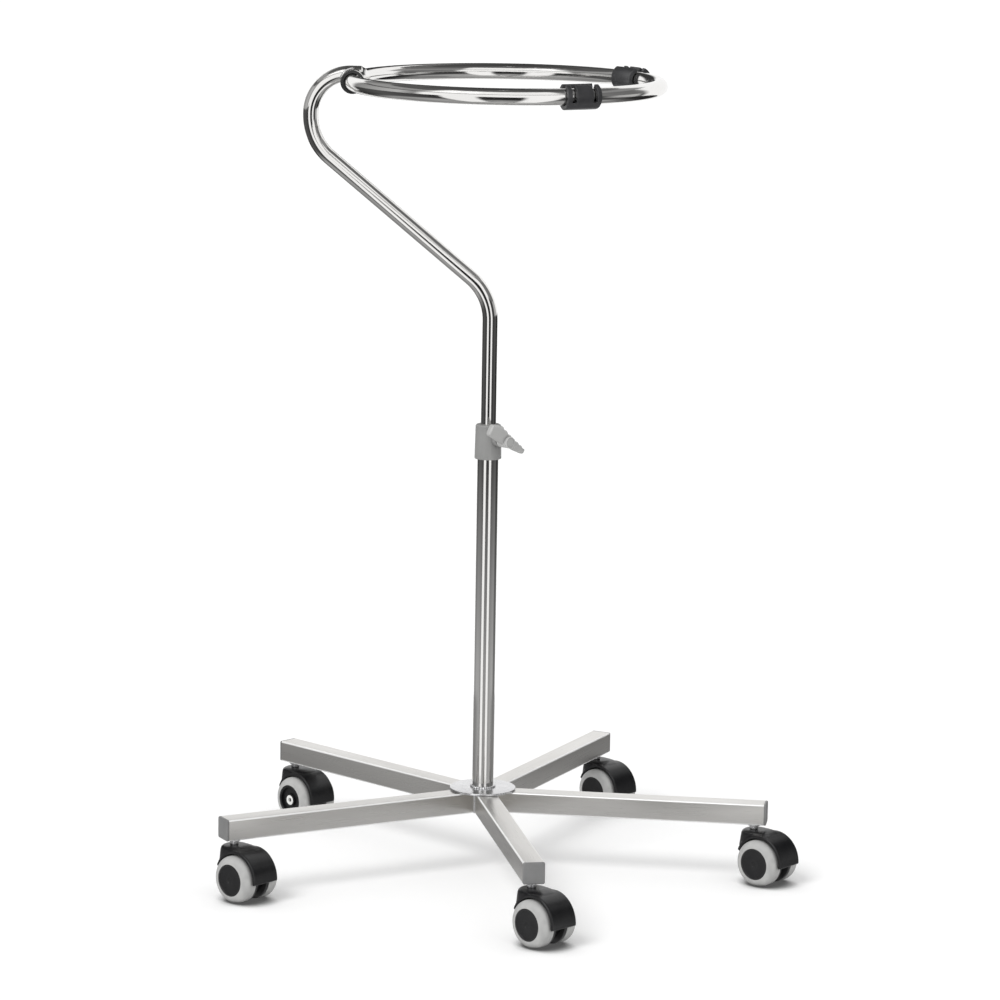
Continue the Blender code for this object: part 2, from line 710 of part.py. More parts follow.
def hood_outline():
    """The guard and web seen along the axle, round the axle's centre: (backwards from the stem, up)."""
    guard = arc(HOOD_RADIUS, HOOD_TAIL_ANGLE, HOOD_NOSE_ANGLE, HOOD_STEPS)
    web = arc(WEB_RADIUS, WEB_START_ANGLE, WEB_END_ANGLE, WEB_STEPS)
    return guard + web


def hood_boss_loop(radius, height, sides=BOSS_SIDES):
    """The boss's outline at one height: round at the stem, and drawn back over the guard behind it."""
    loop = []
    for i in range(sides):
        angle = 2 * math.pi * (i + 0.5) / sides
        centre = HOOD_BOSS_TAIL - CASTOR_TRAIL if math.cos(angle) > 0 else -CASTOR_TRAIL
        loop.append((centre + radius * math.cos(angle), radius * math.sin(angle), height))
    return loop


def hood_boss_shape():
    """The tapered boss that rises through the guard and takes the stem's pin."""
    edge_radius = HOOD_BOSS_TOP_RADIUS - HOOD_BOSS_EDGE
    edge_height = HOOD_TOP - HOOD_BOSS_EDGE
    loops = [hood_boss_loop(HOOD_BOSS_FOOT_RADIUS, HOOD_TOP - HOOD_BOSS_HEIGHT)]
    for u, v in arc(HOOD_BOSS_EDGE, 0, math.pi / 2, 2):
        loops.append(hood_boss_loop(edge_radius + u, edge_height + v))
    return shape("boss", lofted(loops))


def across_axle(body):
    """Turns a shape's mesh from standing on Z to lying along the axle, +Y, about the axle's centre."""
    body.data.transform(Matrix.Rotation(-math.pi / 2, 4, "X"))
    return body


def hood_shape():
    """The moulded hood: a dome over both wheels, a boss for the stem and a web between the wheels."""
    outline = hood_outline()
    pinch = 1 - HOOD_EDGE / HOOD_RADIUS
    inside = HOOD_HALF_WIDTH - HOOD_EDGE
    loops = []
    for across, scale in ((-HOOD_HALF_WIDTH, pinch), (-inside, 1), (inside, 1), (HOOD_HALF_WIDTH, pinch)):
        loops.append([(u * scale, across, v * scale) for u, v in outline])
    body = shape("hood", lofted(loops))
    pocket_radius = TREAD_VERTEX_RADIUS + HOOD_CLEARANCE
    tools = []
    for low, high in ((WEB_HALF_WIDTH, 2 * HOOD_HALF_WIDTH), (-2 * HOOD_HALF_WIDTH, -WEB_HALF_WIDTH)):
        tools.append(across_axle(shape("pocket", rod(pocket_radius, low, high, WHEEL_SIDES))))
    axle_bore = rod(AXLE_RADIUS + GAP, -2 * WEB_HALF_WIDTH, 2 * WEB_HALF_WIDTH)
    tools.append(across_axle(shape("axle_bore", axle_bore)))
    pin_end = HOOD_TOP + GAP - STEM_PIN_LENGTH
    stem_bore = shape("stem_bore", rod(STEM_PIN_RADIUS + GAP, pin_end - GAP, 2 * HOOD_TOP))
    stem_bore.location.x = -CASTOR_TRAIL
    tools.append(stem_bore)
    cuts = [("DIFFERENCE", tool) for tool in tools]
    return combined(body, ("UNION", hood_boss_shape()), *cuts)


def tyre_shape():
    """A soft tread on the +Y side of the castor, with a rounded outer shoulder."""
    phase = math.pi / WHEEL_SIDES
    bore = (HUB_RADIUS + GAP) / math.cos(phase)
    centre_radius = TREAD_VERTEX_RADIUS - TYRE_SHOULDER
    centre_across = WHEEL_OUTER - TYRE_SHOULDER
    shoulder = arc(TYRE_SHOULDER, 0, math.pi / 2, 2)
    profile = [
        (bore, WHEEL_INNER),
        (TREAD_VERTEX_RADIUS, WHEEL_INNER),
        *((centre_radius + u, centre_across + v) for u, v in shoulder),
        (bore, WHEEL_OUTER),
    ]
    return across_axle(shape("tyre", turned(profile, WHEEL_SIDES, phase)))


def hub_shape():
    """The wheel's hard core, with a blind bore on the axle and a closed cap outside."""
    face = WHEEL_OUTER - HUB_RECESS
    bore = AXLE_RADIUS + GAP
    return across_axle(shape("hub", turned([
        (0, face - HUB_CAP_THICKNESS),
        (bore, face - HUB_CAP_THICKNESS),
        (bore, WHEEL_INNER),
        (HUB_RADIUS, WHEEL_INNER),
        (HUB_RADIUS, face - HUB_CHAMFER),
        (HUB_RADIUS - HUB_CHAMFER, face),
        (0, face),
    ], WHEEL_SIDES, math.pi / WHEEL_SIDES)))


def axle_shape():
    half = WHEEL_OUTER - HUB_RECESS - HUB_CAP_THICKNESS - GAP
    return across_axle(shape("axle", rod(AXLE_RADIUS, -half, half)))


def build_castors(base):
    stem = stem_shape()
    hood = hood_shape()
    axle = axle_shape()
    wheel_patterns = ((tyre_shape(), "tyre", "grey_tread"), (hub_shape(), "hub", "black_plastic"))
    axle_place = (CASTOR_TRAIL, 0, WHEEL_RADIUS)
    for i, name in enumerate(LEG_NAMES):
        turn = FIRST_LEG_TURN + i * LEG_SPACING
        spot = (STEM_PLACE * math.cos(turn), STEM_PLACE * math.sin(turn), 0)
        swivel = empty(f"castor_{name}_axis", base, spot, CASTOR_HEADINGS[name])
        place(copy_of(stem, f"castor_{name}_stem"), "zinc", swivel)
        place(copy_of(hood, f"castor_{name}_hood"), "black_plastic", swivel, axle_place)
        place(copy_of(axle, f"castor_{name}_axle"), "zinc", swivel, axle_place)
        for pattern, piece, finish_name in wheel_patterns:
            for side, half_turn in (("a", 0.0), ("b", math.pi)):
                wheel_piece = copy_of(pattern, f"castor_{name}_{piece}_{side}")
                place(wheel_piece, finish_name, swivel, axle_place, half_turn)
    for pattern in (stem, hood, axle, *(entry[0] for entry in wheel_patterns)):
        bpy.data.objects.remove(pattern)


def main():
    clear_scene()
    base = empty("stand")
    build_base(base)
    build_clamp(base)
    build_mast(base)
    build_castors(base)


main()
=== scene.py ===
# %% [markdown]
# A mobile basin stand, dressed for its portrait.
#
# The stand is a bright steel mast with a basin ring. The mast slides in a column on five hooded castors.
# The measured solids are already packed, so this lesson never moves them. It dresses them: each visible
# piece is modelled again with fine, round surfaces where its solid lies, and gets a finish made of
# shader nodes. Blender counts in metres, so sizes in millimetres are written times MM.

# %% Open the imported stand
import math

import bmesh
import bpy
from mathutils import Matrix, Vector


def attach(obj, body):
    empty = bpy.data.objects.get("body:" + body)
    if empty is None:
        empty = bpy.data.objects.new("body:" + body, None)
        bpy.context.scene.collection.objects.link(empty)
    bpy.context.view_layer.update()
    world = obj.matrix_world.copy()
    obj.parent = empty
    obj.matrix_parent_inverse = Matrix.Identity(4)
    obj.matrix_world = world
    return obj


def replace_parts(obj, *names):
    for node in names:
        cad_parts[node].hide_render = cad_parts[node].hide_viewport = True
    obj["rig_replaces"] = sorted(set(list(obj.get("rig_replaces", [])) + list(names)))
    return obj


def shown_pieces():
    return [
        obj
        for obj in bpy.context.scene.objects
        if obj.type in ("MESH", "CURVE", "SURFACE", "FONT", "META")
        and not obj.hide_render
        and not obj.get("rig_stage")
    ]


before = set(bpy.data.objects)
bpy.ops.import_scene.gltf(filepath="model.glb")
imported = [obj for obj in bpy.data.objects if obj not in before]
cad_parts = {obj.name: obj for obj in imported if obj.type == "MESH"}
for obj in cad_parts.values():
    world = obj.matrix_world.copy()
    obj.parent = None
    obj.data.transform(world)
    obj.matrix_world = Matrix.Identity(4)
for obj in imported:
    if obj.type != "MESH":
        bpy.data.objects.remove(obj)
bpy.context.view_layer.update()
MM = 0.001

# %% [markdown]
# The camera comes first, because every later choice is judged through it. The stand was photographed from
# far off with a long lens, from a little above the ring, and the horizon leans by about one degree. A long
# lens keeps the five legs almost free of perspective. The lens could be guessed by eye, but it is safer to
# write it as the distance in pixels that the legs, column and ring agree on, and to turn that into
# millimetres here.

# %% Camera at the photographed angle
FRAME_PIXELS = 1000
FOCAL_PIXELS = 4295.8
SENSOR_WIDTH = 36.0
CAMERA_PLACE = Vector((0.0, -4.9573, 1.3416))
CAMERA_PITCH = math.radians(10.279)
CAMERA_YAW = math.radians(0.173)
CAMERA_ROLL = math.radians(0.934)
FAR_LIMIT = 100

scene = bpy.context.scene
lens = bpy.data.cameras.new("portrait_camera")
lens.sensor_width = SENSOR_WIDTH
lens.lens = FOCAL_PIXELS * SENSOR_WIDTH / FRAME_PIXELS
lens.clip_end = FAR_LIMIT
camera = bpy.data.objects.new("portrait_camera", lens)
scene.collection.objects.link(camera)

ahead = Vector((
    math.sin(CAMERA_YAW) * math.cos(CAMERA_PITCH),
    math.cos(CAMERA_YAW) * math.cos(CAMERA_PITCH),
    -math.sin(CAMERA_PITCH),
))
level = Vector((math.cos(CAMERA_YAW), -math.sin(CAMERA_YAW), 0))
upright = level.cross(ahead)
to_right = level * math.cos(CAMERA_ROLL) + upright * math.sin(CAMERA_ROLL)
to_top = upright * math.cos(CAMERA_ROLL) - level * math.sin(CAMERA_ROLL)
facing = Matrix((to_right, to_top, -ahead)).transposed().to_4x4()
camera.matrix_world = Matrix.Translation(CAMERA_PLACE) @ facing
scene.camera = camera
scene.view_settings.view_transform = "Standard"
print("lens in millimetres:", round(lens.lens, 1))

# %% [markdown]
# Every light and finish below is a small tree of shader nodes. Nodes can be laid out by hand in the shader
# editor, but a script gives the same tree each time and can be read from top to bottom. A few helpers keep
# the trees short: they add a node and fill its sockets, do a sum, mix two colours, or turn a factor into a
# run of shades.

# %% Helpers for shader nodes
def new_material(name):
    """A material with an empty node tree, ready to be filled."""
    material = bpy.data.materials.new(name)
    material.use_nodes = True
    material.node_tree.nodes.clear()
    return material


def fill(tree, socket, value):
    """Links a socket to the output of another node, or sets it to a plain value."""
    if isinstance(value, bpy.types.NodeSocket):
        tree.links.new(value, socket)
    else:
        socket.default_value = value


def node(tree, kind, **inputs):
    """Adds a node and fills the named sockets; an underscore stands for a space."""
    made = tree.nodes.new(kind)
    for label, value in inputs.items():
        fill(tree, made.inputs[label.replace("_", " ")], value)
    return made


def calculate(tree, operation, *values):
    """A Math node on one or two values."""
    made = tree.nodes.new("ShaderNodeMath")
    made.operation = operation
    for socket, value in zip(made.inputs, values):
        fill(tree, socket, value)
    return made.outputs["Value"]


def mix(tree, first, second, factor=1.0, blend_type="MIX"):
    """Mixes two colours by a factor."""
    made = tree.nodes.new("ShaderNodeMix")
    made.data_type = "RGBA"
    made.blend_type = blend_type
    for label, value in (("Factor", factor), ("A", first), ("B", second)):
        fill(tree, made.inputs[label], value)
    return made.outputs["Result"]


def ramp(tree, factor, stops):
    """A colour ramp, given as (place, shade) pairs; a shade is a grey or a colour."""
    made = tree.nodes.new("ShaderNodeValToRGB")
    elements = made.color_ramp.elements
    while len(elements) < len(stops):
        elements.new(0.5)
    for element, (place, shade) in zip(elements, stops):
        element.position = place
        element.color = (*shade, 1) if isinstance(shade, tuple) else (shade, shade, shade, 1)
    tree.links.new(factor, made.inputs["Fac"])
    return made.outputs["Color"]


print("shader helpers ready")

# %% [markdown]
# The stand was photographed in a white cove, where the floor runs up into the wall without an edge. A curved
# backdrop could be modelled. A flat floor under a white world looks the same from here, and stays right from
# every other side. The floor is white paint that takes shadows. A faint glow that only eyes and mirrors see
# lifts its light grey to white. A painted shadow darkens the paint where something stands close over it,
# round the foot of a wheel.

# %% Floor
FLOOR_SIZE = 40.0
FLOOR_LIFT = 0.08
CONTACT_REACH = 0.04
PAINTED_CONTACT_SHADOW = ((0.30, 0.04), (0.72, 0.99))
WHITE = (1, 1, 1, 1)


def seen_directly(tree):
    """One for the rays that show a surface to the eye, also by way of metal or glass."""
    path = node(tree, "ShaderNodeLightPath")
    seen = path.outputs["Is Camera Ray"]
    for ray in ("Is Glossy Ray", "Is Transmission Ray"):
        seen = calculate(tree, "MAXIMUM", seen, path.outputs[ray])
    return seen


floor_mesh = bpy.data.meshes.new("floor")
half = FLOOR_SIZE / 2
corners = [(-half, -half, 0), (half, -half, 0), (half, half, 0), (-half, half, 0)]
floor_mesh.from_pydata(corners, [], [(0, 1, 2, 3)])
floor = bpy.data.objects.new("floor", floor_mesh)
scene.collection.objects.link(floor)
floor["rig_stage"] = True

floor_material = new_material("pale_floor")
tree = floor_material.node_tree
# Ambient occlusion paints a contact shadow into the floor's colour, on top of the real shadows it takes.
nearby = node(tree, "ShaderNodeAmbientOcclusion", Distance=CONTACT_REACH)
paint = node(tree, "ShaderNodeBsdfDiffuse", Color=ramp(tree, nearby.outputs["AO"], PAINTED_CONTACT_SHADOW))
lift = calculate(tree, "MULTIPLY", seen_directly(tree), FLOOR_LIFT)
glow = node(tree, "ShaderNodeEmission", Color=WHITE, Strength=lift)
lifted = tree.nodes.new("ShaderNodeAddShader")
tree.links.new(paint.outputs["BSDF"], lifted.inputs[0])
tree.links.new(glow.outputs["Emission"], lifted.inputs[1])
node(tree, "ShaderNodeOutputMaterial", Surface=lifted.outputs["Shader"])
floor_mesh.materials.append(floor_material)
print("floor:", FLOOR_SIZE, "m wide")

# %% [markdown]
# The light is plain: an even sky, and one broad soft sun from the upper left on the camera's side, which
# draws the shadows away to the right. Area lamps would do as well, but a sun gives every leg the same light
# wherever it stands. The sky lights the stand a little below white, and the eye sees it as white.

# %% World and soft key light
SKY_LIGHT = 0.72
KEY_STRENGTH = 1.18
KEY_SOFTNESS = math.radians(28)
KEY_LEAN = (math.radians(30), math.radians(-30), 0)

world = bpy.data.worlds.new("white_cove")
world.use_nodes = True
scene.world = world
tree = world.node_tree
tree.nodes.clear()
sky = node(tree, "ShaderNodeBackground", Color=WHITE, Strength=SKY_LIGHT)
white = node(tree, "ShaderNodeBackground", Color=WHITE, Strength=1.0)
mixer = node(tree, "ShaderNodeMixShader", Fac=seen_directly(tree))
tree.links.new(sky.outputs["Background"], mixer.inputs[1])
tree.links.new(white.outputs["Background"], mixer.inputs[2])
node(tree, "ShaderNodeOutputWorld", Surface=mixer.outputs["Shader"])

key_lamp = bpy.data.lights.new("soft_key", "SUN")
key_lamp.energy = KEY_STRENGTH
key_lamp.angle = KEY_SOFTNESS
key = bpy.data.objects.new("soft_key", key_lamp)
key.rotation_euler = KEY_LEAN
scene.collection.objects.link(key)
print("sky:", SKY_LIGHT, "key light:", KEY_STRENGTH)

# %% [markdown]
# Polished tube has no colour of its own. It shows the room, so the room is part of the finish. A picture of
# a studio could be wrapped round the scene, but the streaks are easier to steer when each wall is a band of
# panels round the stand. A band's glow changes with the bearing from the camera, and at the foot also with
# height. Only reflections see the bands, so they shape the streaks on the steel, and they light nothing
# else, cast no shadow and block no view.

# %% Bands that only reflections see
STUDIO_SIDES = 96
FADE_LOW = 0.02
FADE_HIGH = 0.36


def studio_band(name, loops, glow_material):
    """A band of panels round the stand, between two (radius, height) loops."""
    mesh = bpy.data.meshes.new(name)
    points = []
    for radius, height in loops:
        for i in range(STUDIO_SIDES):
            turn = 2 * math.pi * i / STUDIO_SIDES
            points.append((radius * math.sin(turn), -radius * math.cos(turn), height))
    panels = []
    for i in range(STUDIO_SIDES):
        j = (i + 1) % STUDIO_SIDES
        panels.append((i, j, STUDIO_SIDES + j, STUDIO_SIDES + i))
    mesh.from_pydata(points, [], panels)
    mesh.materials.append(glow_material)
    band = bpy.data.objects.new(name, mesh)
    scene.collection.objects.link(band)
    band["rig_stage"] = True
    band.visible_camera = False
    band.visible_diffuse = False
    band.visible_transmission = False
    band.visible_shadow = False


def studio_glow(name, low_stops, high_stops):
    """A glow by bearing, given as (degrees to the camera's right, grey) pairs for a low and a high edge."""
    material = new_material(name)
    tree = material.node_tree
    place = node(tree, "ShaderNodeTexCoord").outputs["Object"]
    turned = node(tree, "ShaderNodeMapping", Vector=place, Rotation=(0, 0, math.radians(90)))
    around = node(tree, "ShaderNodeTexGradient", Vector=turned.outputs["Vector"])
    around.gradient_type = "RADIAL"
    shades = []
    for stops in (low_stops, high_stops):
        shares = [((degrees + 180) / 360, grey) for degrees, grey in stops]
        shades.append(ramp(tree, around.outputs["Fac"], shares))
    height = node(tree, "ShaderNodeSeparateXYZ", Vector=place).outputs["Z"]
    rise = node(tree, "ShaderNodeMapRange", Value=height, From_Min=FADE_LOW, From_Max=FADE_HIGH)
    colour = mix(tree, *shades, rise.outputs["Result"])
    glow = node(tree, "ShaderNodeEmission", Color=colour, Strength=1.0)
    node(tree, "ShaderNodeOutputMaterial", Surface=glow.outputs["Emission"])
    return material


print("studio tools ready, panels in a band:", STUDIO_SIDES)

# %% [markdown]
# The streaks tell what stood in the room. The column shows a tall soft light on each side of the camera, a
# dark gap between them, darker walls beside them and the white cove behind the stand. At the height of the
# ring the lights widen into one soft box with a darker seam above it. The top wall and the ceiling are bright
# towards the camera and grey at the sides, which gives the slanting mast its grey upper side. The mat is what
# the legs and the ring show from below. All the greys were set against the tubes.

# %% Walls of the studio, as bearings and greys
FOOT_WALL = (
    (-180, 1.0), (-152, 1.0), (-144, 0.26), (-120, 0.33), (-95, 0.42), (-62, 0.39), (-44, 0.26),
    (-41, 1.0), (-19, 1.0), (-16, 0.23), (-4, 0.35), (12, 0.26), (15, 1.0), (35, 1.0), (38, 0.32),
    (66, 0.39), (92, 0.44), (104, 0.20), (144, 0.14), (152, 1.0), (180, 1.0),
)
WAIST_WALL = (
    (-180, 1.0), (-152, 1.0), (-144, 0.03), (-120, 0.045), (-95, 0.09), (-62, 0.06), (-44, 0.025),
    (-41, 1.0), (-19, 1.0), (-16, 0.015), (-4, 0.025), (12, 0.015), (15, 1.0), (35, 1.0), (38, 0.035),
    (66, 0.06), (92, 0.09), (104, 0.025), (144, 0.015), (152, 1.0), (180, 1.0),
)
SHOULDER_WALL = (
    (-180, 0.04), (-161, 0.04), (-154, 1.0), (-132, 1.0), (-124, 0.045), (-95, 0.09), (-62, 0.06),
    (-44, 0.025), (-41, 1.0), (-19, 1.0), (-16, 0.015), (-4, 0.025), (12, 0.015), (15, 1.0), (35, 1.0),
    (38, 0.035), (66, 0.06), (80, 0.45), (98, 0.50), (104, 0.05), (112, 1.0), (170, 1.0), (176, 0.04),
    (180, 0.04),
)
SOFTBOX = (
    (-180, 0.04), (-161, 0.04), (-154, 1.0), (-132, 1.0), (-124, 0.25), (-75, 0.50), (-62, 0.25),
    (-55, 1.0), (41, 1.0), (47, 0.20), (96, 0.15), (104, 0.20), (112, 1.0), (170, 1.0), (176, 0.04),
    (180, 0.04),
)
SOFTBOX_SEAM = (
    (-180, 0.04), (-161, 0.04), (-154, 1.0), (-132, 1.0), (-124, 0.10), (-62, 0.13), (-55, 0.35),
    (41, 0.35), (47, 0.15), (104, 0.15), (112, 1.0), (170, 1.0), (176, 0.04), (180, 0.04),
)
TOP_WALL = (
    (-180, 0.04), (-154, 0.12), (-124, 0.34), (-62, 0.30), (-52, 1.0), (38, 1.0), (44, 0.26),
    (122, 0.26), (132, 1.0), (170, 1.0), (176, 0.04), (180, 0.04),
)
CEILING = (
    (-180, 0.06), (-150, 0.10), (-62, 0.10), (-52, 0.95), (41, 0.95), (47, 0.14), (150, 0.14),
    (180, 0.06),
)
CEILING_MIDDLE = ((-180, 0.05), (0, 0.12), (180, 0.05))
MAT = (
    (-180, 0.34), (-130, 0.32), (-110, 0.26), (-60, 0.36), (-20, 0.45), (10, 0.44), (30, 0.48),
    (45, 0.54), (70, 0.45), (120, 0.30), (180, 0.34),
)
OUTER_MAT = (
    (-180, 0.30), (-110, 0.23), (-62, 0.39), (-44, 0.26), (-41, 1.0), (-19, 1.0), (-16, 0.23),
    (-4, 0.35), (12, 0.26), (15, 1.0), (35, 1.0), (38, 0.32), (66, 0.39), (104, 0.20), (144, 0.24),
    (180, 0.30),
)
print("most stops in a wall:", max(len(wall) for wall in (FOOT_WALL, WAIST_WALL, SHOULDER_WALL)))

# %% [markdown]
# The bands stack up like hoops: a mat just over the floor, five hoops of wall, and a ceiling with a darker
# middle. A single drum with one large table of greys would do the same, but with hoops each height of the
# stand can be set alone. The foot hoop is the only one whose greys change on the way up.

# %% Studio round the stand
STUDIO_RADIUS = 0.9
STUDIO_HEIGHT = 1.8
MAT_HEIGHT = 0.003
MAT_RADIUS = 0.02
STREAK_FOOT = 0.42
SHOULDER_HEIGHT = 0.62
SOFTBOX_HEIGHT = 0.89
SEAM_LOW = 1.29
SEAM_HIGH = 1.40
CEILING_OPENING = 0.52


def hoop(low, high):
    """The two loops of a wall."""
    return (STUDIO_RADIUS, low), (STUDIO_RADIUS, high)


def flat(start, end, height):
    """The two loops of a level ring."""
    return (start, height), (end, height)


studio = (
    ("studio_mat", flat(MAT_RADIUS, STREAK_FOOT, MAT_HEIGHT), MAT, MAT),
    ("studio_outer_mat", flat(STREAK_FOOT, STUDIO_RADIUS, MAT_HEIGHT), OUTER_MAT, OUTER_MAT),
    ("studio_wall", hoop(MAT_HEIGHT, SHOULDER_HEIGHT), FOOT_WALL, WAIST_WALL),
    ("studio_shoulder", hoop(SHOULDER_HEIGHT, SOFTBOX_HEIGHT), SHOULDER_WALL, SHOULDER_WALL),
    ("studio_softbox", hoop(SOFTBOX_HEIGHT, SEAM_LOW), SOFTBOX, SOFTBOX),
    ("studio_seam", hoop(SEAM_LOW, SEAM_HIGH), SOFTBOX_SEAM, SOFTBOX_SEAM),
    ("studio_top_wall", hoop(SEAM_HIGH, STUDIO_HEIGHT), TOP_WALL, TOP_WALL),
    ("studio_ceiling", flat(STUDIO_RADIUS, CEILING_OPENING, STUDIO_HEIGHT), CEILING, CEILING),
    ("studio_ceiling_middle", flat(CEILING_OPENING, MAT_RADIUS, STUDIO_HEIGHT), CEILING_MIDDLE,
     CEILING_MIDDLE),
)
for name, loops, low_stops, high_stops in studio:
    studio_band(name, loops, studio_glow(name, low_stops, high_stops))
print("studio bands:", len(studio))

# %% [markdown]
# Next come the finishes. An even value is what makes a render look like plasticine, so colour, roughness and
# bump all vary a little. An image could bring that variety. Noise in the piece's own metres does it without
# one, and never shows a seam: coarse noise for patches, fine noise for grain. Drawn out along one axis, the
# same noise becomes the lines of a brushed bar.

# %% Grain
PATCH_DETAIL = 4.0
GRAIN_DETAIL = 6.0


def grain(tree, per_metre, detail):
    """Noise in the piece's own metres, with its own count of waves on each axis."""
    place = node(tree, "ShaderNodeTexCoord")
    mapped = node(tree, "ShaderNodeMapping", Vector=place.outputs["Object"], Scale=per_metre)
    noise = node(tree, "ShaderNodeTexNoise", Vector=mapped.outputs["Vector"], Scale=1.0, Detail=detail)
    return noise.outputs["Fac"]


def evenly(per_metre):
    """The same count of waves on all three axes."""
    return (per_metre, per_metre, per_metre)


print("grain ready")

# %% [markdown]
# Painted light helps a small piece to read. Painted shade darkens the corners of a moulding, and a painted
# highlight pales its edges. A brushed bar gets a painted highlight, a bright line along its rounded corners,
# where its side turns into its top. Both could be painted on by hand. Here the shape itself says where they
# go: ambient occlusion finds the corners, pointiness finds the edges, and a normal that points both sideways
# and up belongs to the corner of a bar.

# %% Painted shade in corners, painted highlights on edges and bar corners
SHUT_AND_OPEN = (0.25, 0.95)
FLAT_AND_SHARP = (0.51, 0.60)
SIDE_AND_CORNER = (0.08, 0.30)
PAINTED_CORNER_HIGHLIGHT = (0.98, 0.98, 0.97, 1)
CORNER_METAL = 0.25


def paint_corner_shade_and_edge_highlight(tree, colour, reach, depth, edge):
    """Paints shade into the corners of a moulding, and a highlight on its edges."""
    corner = node(tree, "ShaderNodeAmbientOcclusion", Distance=reach)
    shade = ramp(tree, corner.outputs["AO"], tuple(zip(SHUT_AND_OPEN, (depth, 1.0))))
    shape = node(tree, "ShaderNodeNewGeometry")
    pale = ramp(tree, shape.outputs["Pointiness"], tuple(zip(FLAT_AND_SHARP, (0.0, edge))))
    shaded = mix(tree, colour, shade, 1.0, "MULTIPLY")
    return mix(tree, shaded, pale, 1.0, "ADD")


def paint_corner_highlight(tree, colour):
    """Paints a highlight along the corners of a bar that lies along X, and says how metallic it stays there.
    """
    place = node(tree, "ShaderNodeTexCoord")
    facing = node(tree, "ShaderNodeSeparateXYZ", Vector=place.outputs["Normal"])
    both = calculate(tree, "MULTIPLY", facing.outputs["Y"], facing.outputs["Z"])
    turned = calculate(tree, "ABSOLUTE", both)
    pale = ramp(tree, turned, tuple(zip(SIDE_AND_CORNER, (0.0, 1.0))))
    metal = ramp(tree, pale, ((0.0, 1.0), (1.0, CORNER_METAL)))
    return mix(tree, colour, PAINTED_CORNER_HIGHLIGHT, pale), metal


# Both tools paint light into a colour: shade in the corners, highlights on edges and along bar corners.
print("edge wear ready")

# %% [markdown]
# Stainless tube is polished on belts and buffed, which leaves a mirror with a faint haze that changes from
# place to place. The square legs are only brushed, so their grain runs along the bar. Stems, welds and the
# hub plate are satin. The plastics are moulded in spark-eroded tools that print a fine grain on them. Each
# finish could have a tree of its own, but they differ only in their numbers, so one builder makes them all
# round a Principled shader.

# %% Finishes
LOW_AND_HIGH = (0.3, 0.7)
RELIEF_DEPTH = 0.1 * MM


def make_finish(name, tints, rough, patch, fine, relief, metal=0.0, corners=None, bar=False):
    """A finish from two tints, a roughness range, a patch size, a fine grain and its relief."""
    material = new_material(name)
    tree = material.node_tree
    patches = grain(tree, patch, PATCH_DETAIL)
    fine_grain = grain(tree, fine, GRAIN_DETAIL)
    colour = ramp(tree, patches, tuple(zip(LOW_AND_HIGH, tints)))
    # Painted shade in the corners and painted highlights on the edges.
    if corners:
        colour = paint_corner_shade_and_edge_highlight(tree, colour, *corners)
    # A painted highlight along the corners of a bar.
    if bar:
        colour, metal = paint_corner_highlight(tree, colour)
    bump = node(tree, "ShaderNodeBump", Height=fine_grain, Strength=relief, Distance=RELIEF_DEPTH)
    shader = node(
        tree, "ShaderNodeBsdfPrincipled", Base_Color=colour, Metallic=metal,
        Roughness=ramp(tree, fine_grain, tuple(zip(LOW_AND_HIGH, rough))), Normal=bump.outputs["Normal"])
    node(tree, "ShaderNodeOutputMaterial", Surface=shader.outputs["BSDF"])
    return material


polished_steel = make_finish(
    "polished_steel", ((0.84, 0.83, 0.815), (0.90, 0.89, 0.875)), (0.06, 0.12),
    evenly(14), evenly(160), 0.004, metal=1.0)
# The legs get a painted highlight along their corners.
brushed_steel = make_finish(
    "brushed_steel", ((0.75, 0.735, 0.71), (0.85, 0.835, 0.81)), (0.26, 0.40),
    (5, 40, 40), (14, 1500, 1500), 0.10, bar=True)
zinc = make_finish(
    "zinc", ((0.76, 0.76, 0.77), (0.86, 0.86, 0.87)), (0.22, 0.36),
    evenly(120), evenly(900), 0.05, metal=1.0)
# A corners entry gives the reach and darkness of the painted shade in corners, and the paleness of the
# painted edge highlight.
cap_plastic = make_finish(
    "cap_plastic", ((0.19, 0.19, 0.19), (0.225, 0.225, 0.225)), (0.28, 0.40),
    evenly(60), evenly(2600), 0.12, corners=(5 * MM, 0.5, 0.0))
clamp_plastic = make_finish(
    "clamp_plastic", ((0.25, 0.25, 0.245), (0.285, 0.285, 0.28)), (0.36, 0.48),
    evenly(50), evenly(2600), 0.12, corners=(7 * MM, 0.35, 0.10))
handle_plastic = make_finish(
    "handle_plastic", ((0.40, 0.40, 0.395), (0.45, 0.45, 0.44)), (0.36, 0.48),
    evenly(50), evenly(2600), 0.12, corners=(5 * MM, 0.10, 0.16))
black_plastic = make_finish(
    "black_plastic", ((0.006, 0.006, 0.007), (0.011, 0.011, 0.012)), (0.24, 0.36),
    evenly(70), evenly(1800), 0.08, corners=(6 * MM, 0.4, 0.03))
tread_grey = make_finish(
    "tread_grey", ((0.41, 0.41, 0.405), (0.50, 0.50, 0.49)), (0.50, 0.64),
    evenly(80), evenly(1400), 0.15, corners=(5 * MM, 0.5, 0.0))
clip_plastic = make_finish(
    "clip_plastic", ((0.030, 0.030, 0.032), (0.043, 0.043, 0.046)), (0.26, 0.38),
    evenly(90), evenly(2200), 0.12, corners=(5 * MM, 0.3, 0.04))
white_nylon = make_finish(
    "white_nylon", ((0.80, 0.80, 0.78), (0.88, 0.88, 0.86)), (0.36, 0.46),
    evenly(90), evenly(2200), 0.08)
print("materials so far:", len(bpy.data.materials))

# %% [markdown]
# A few small tools make nearly every shape. Ready-made primitives and modifiers could be stacked instead, but
# a list of points says a real size directly. A lathe turns a profile as a turner would, a loft runs a skin
# through outlines, and a pipe joins an outer and an inner skin, so that a cut tube shows its wall.

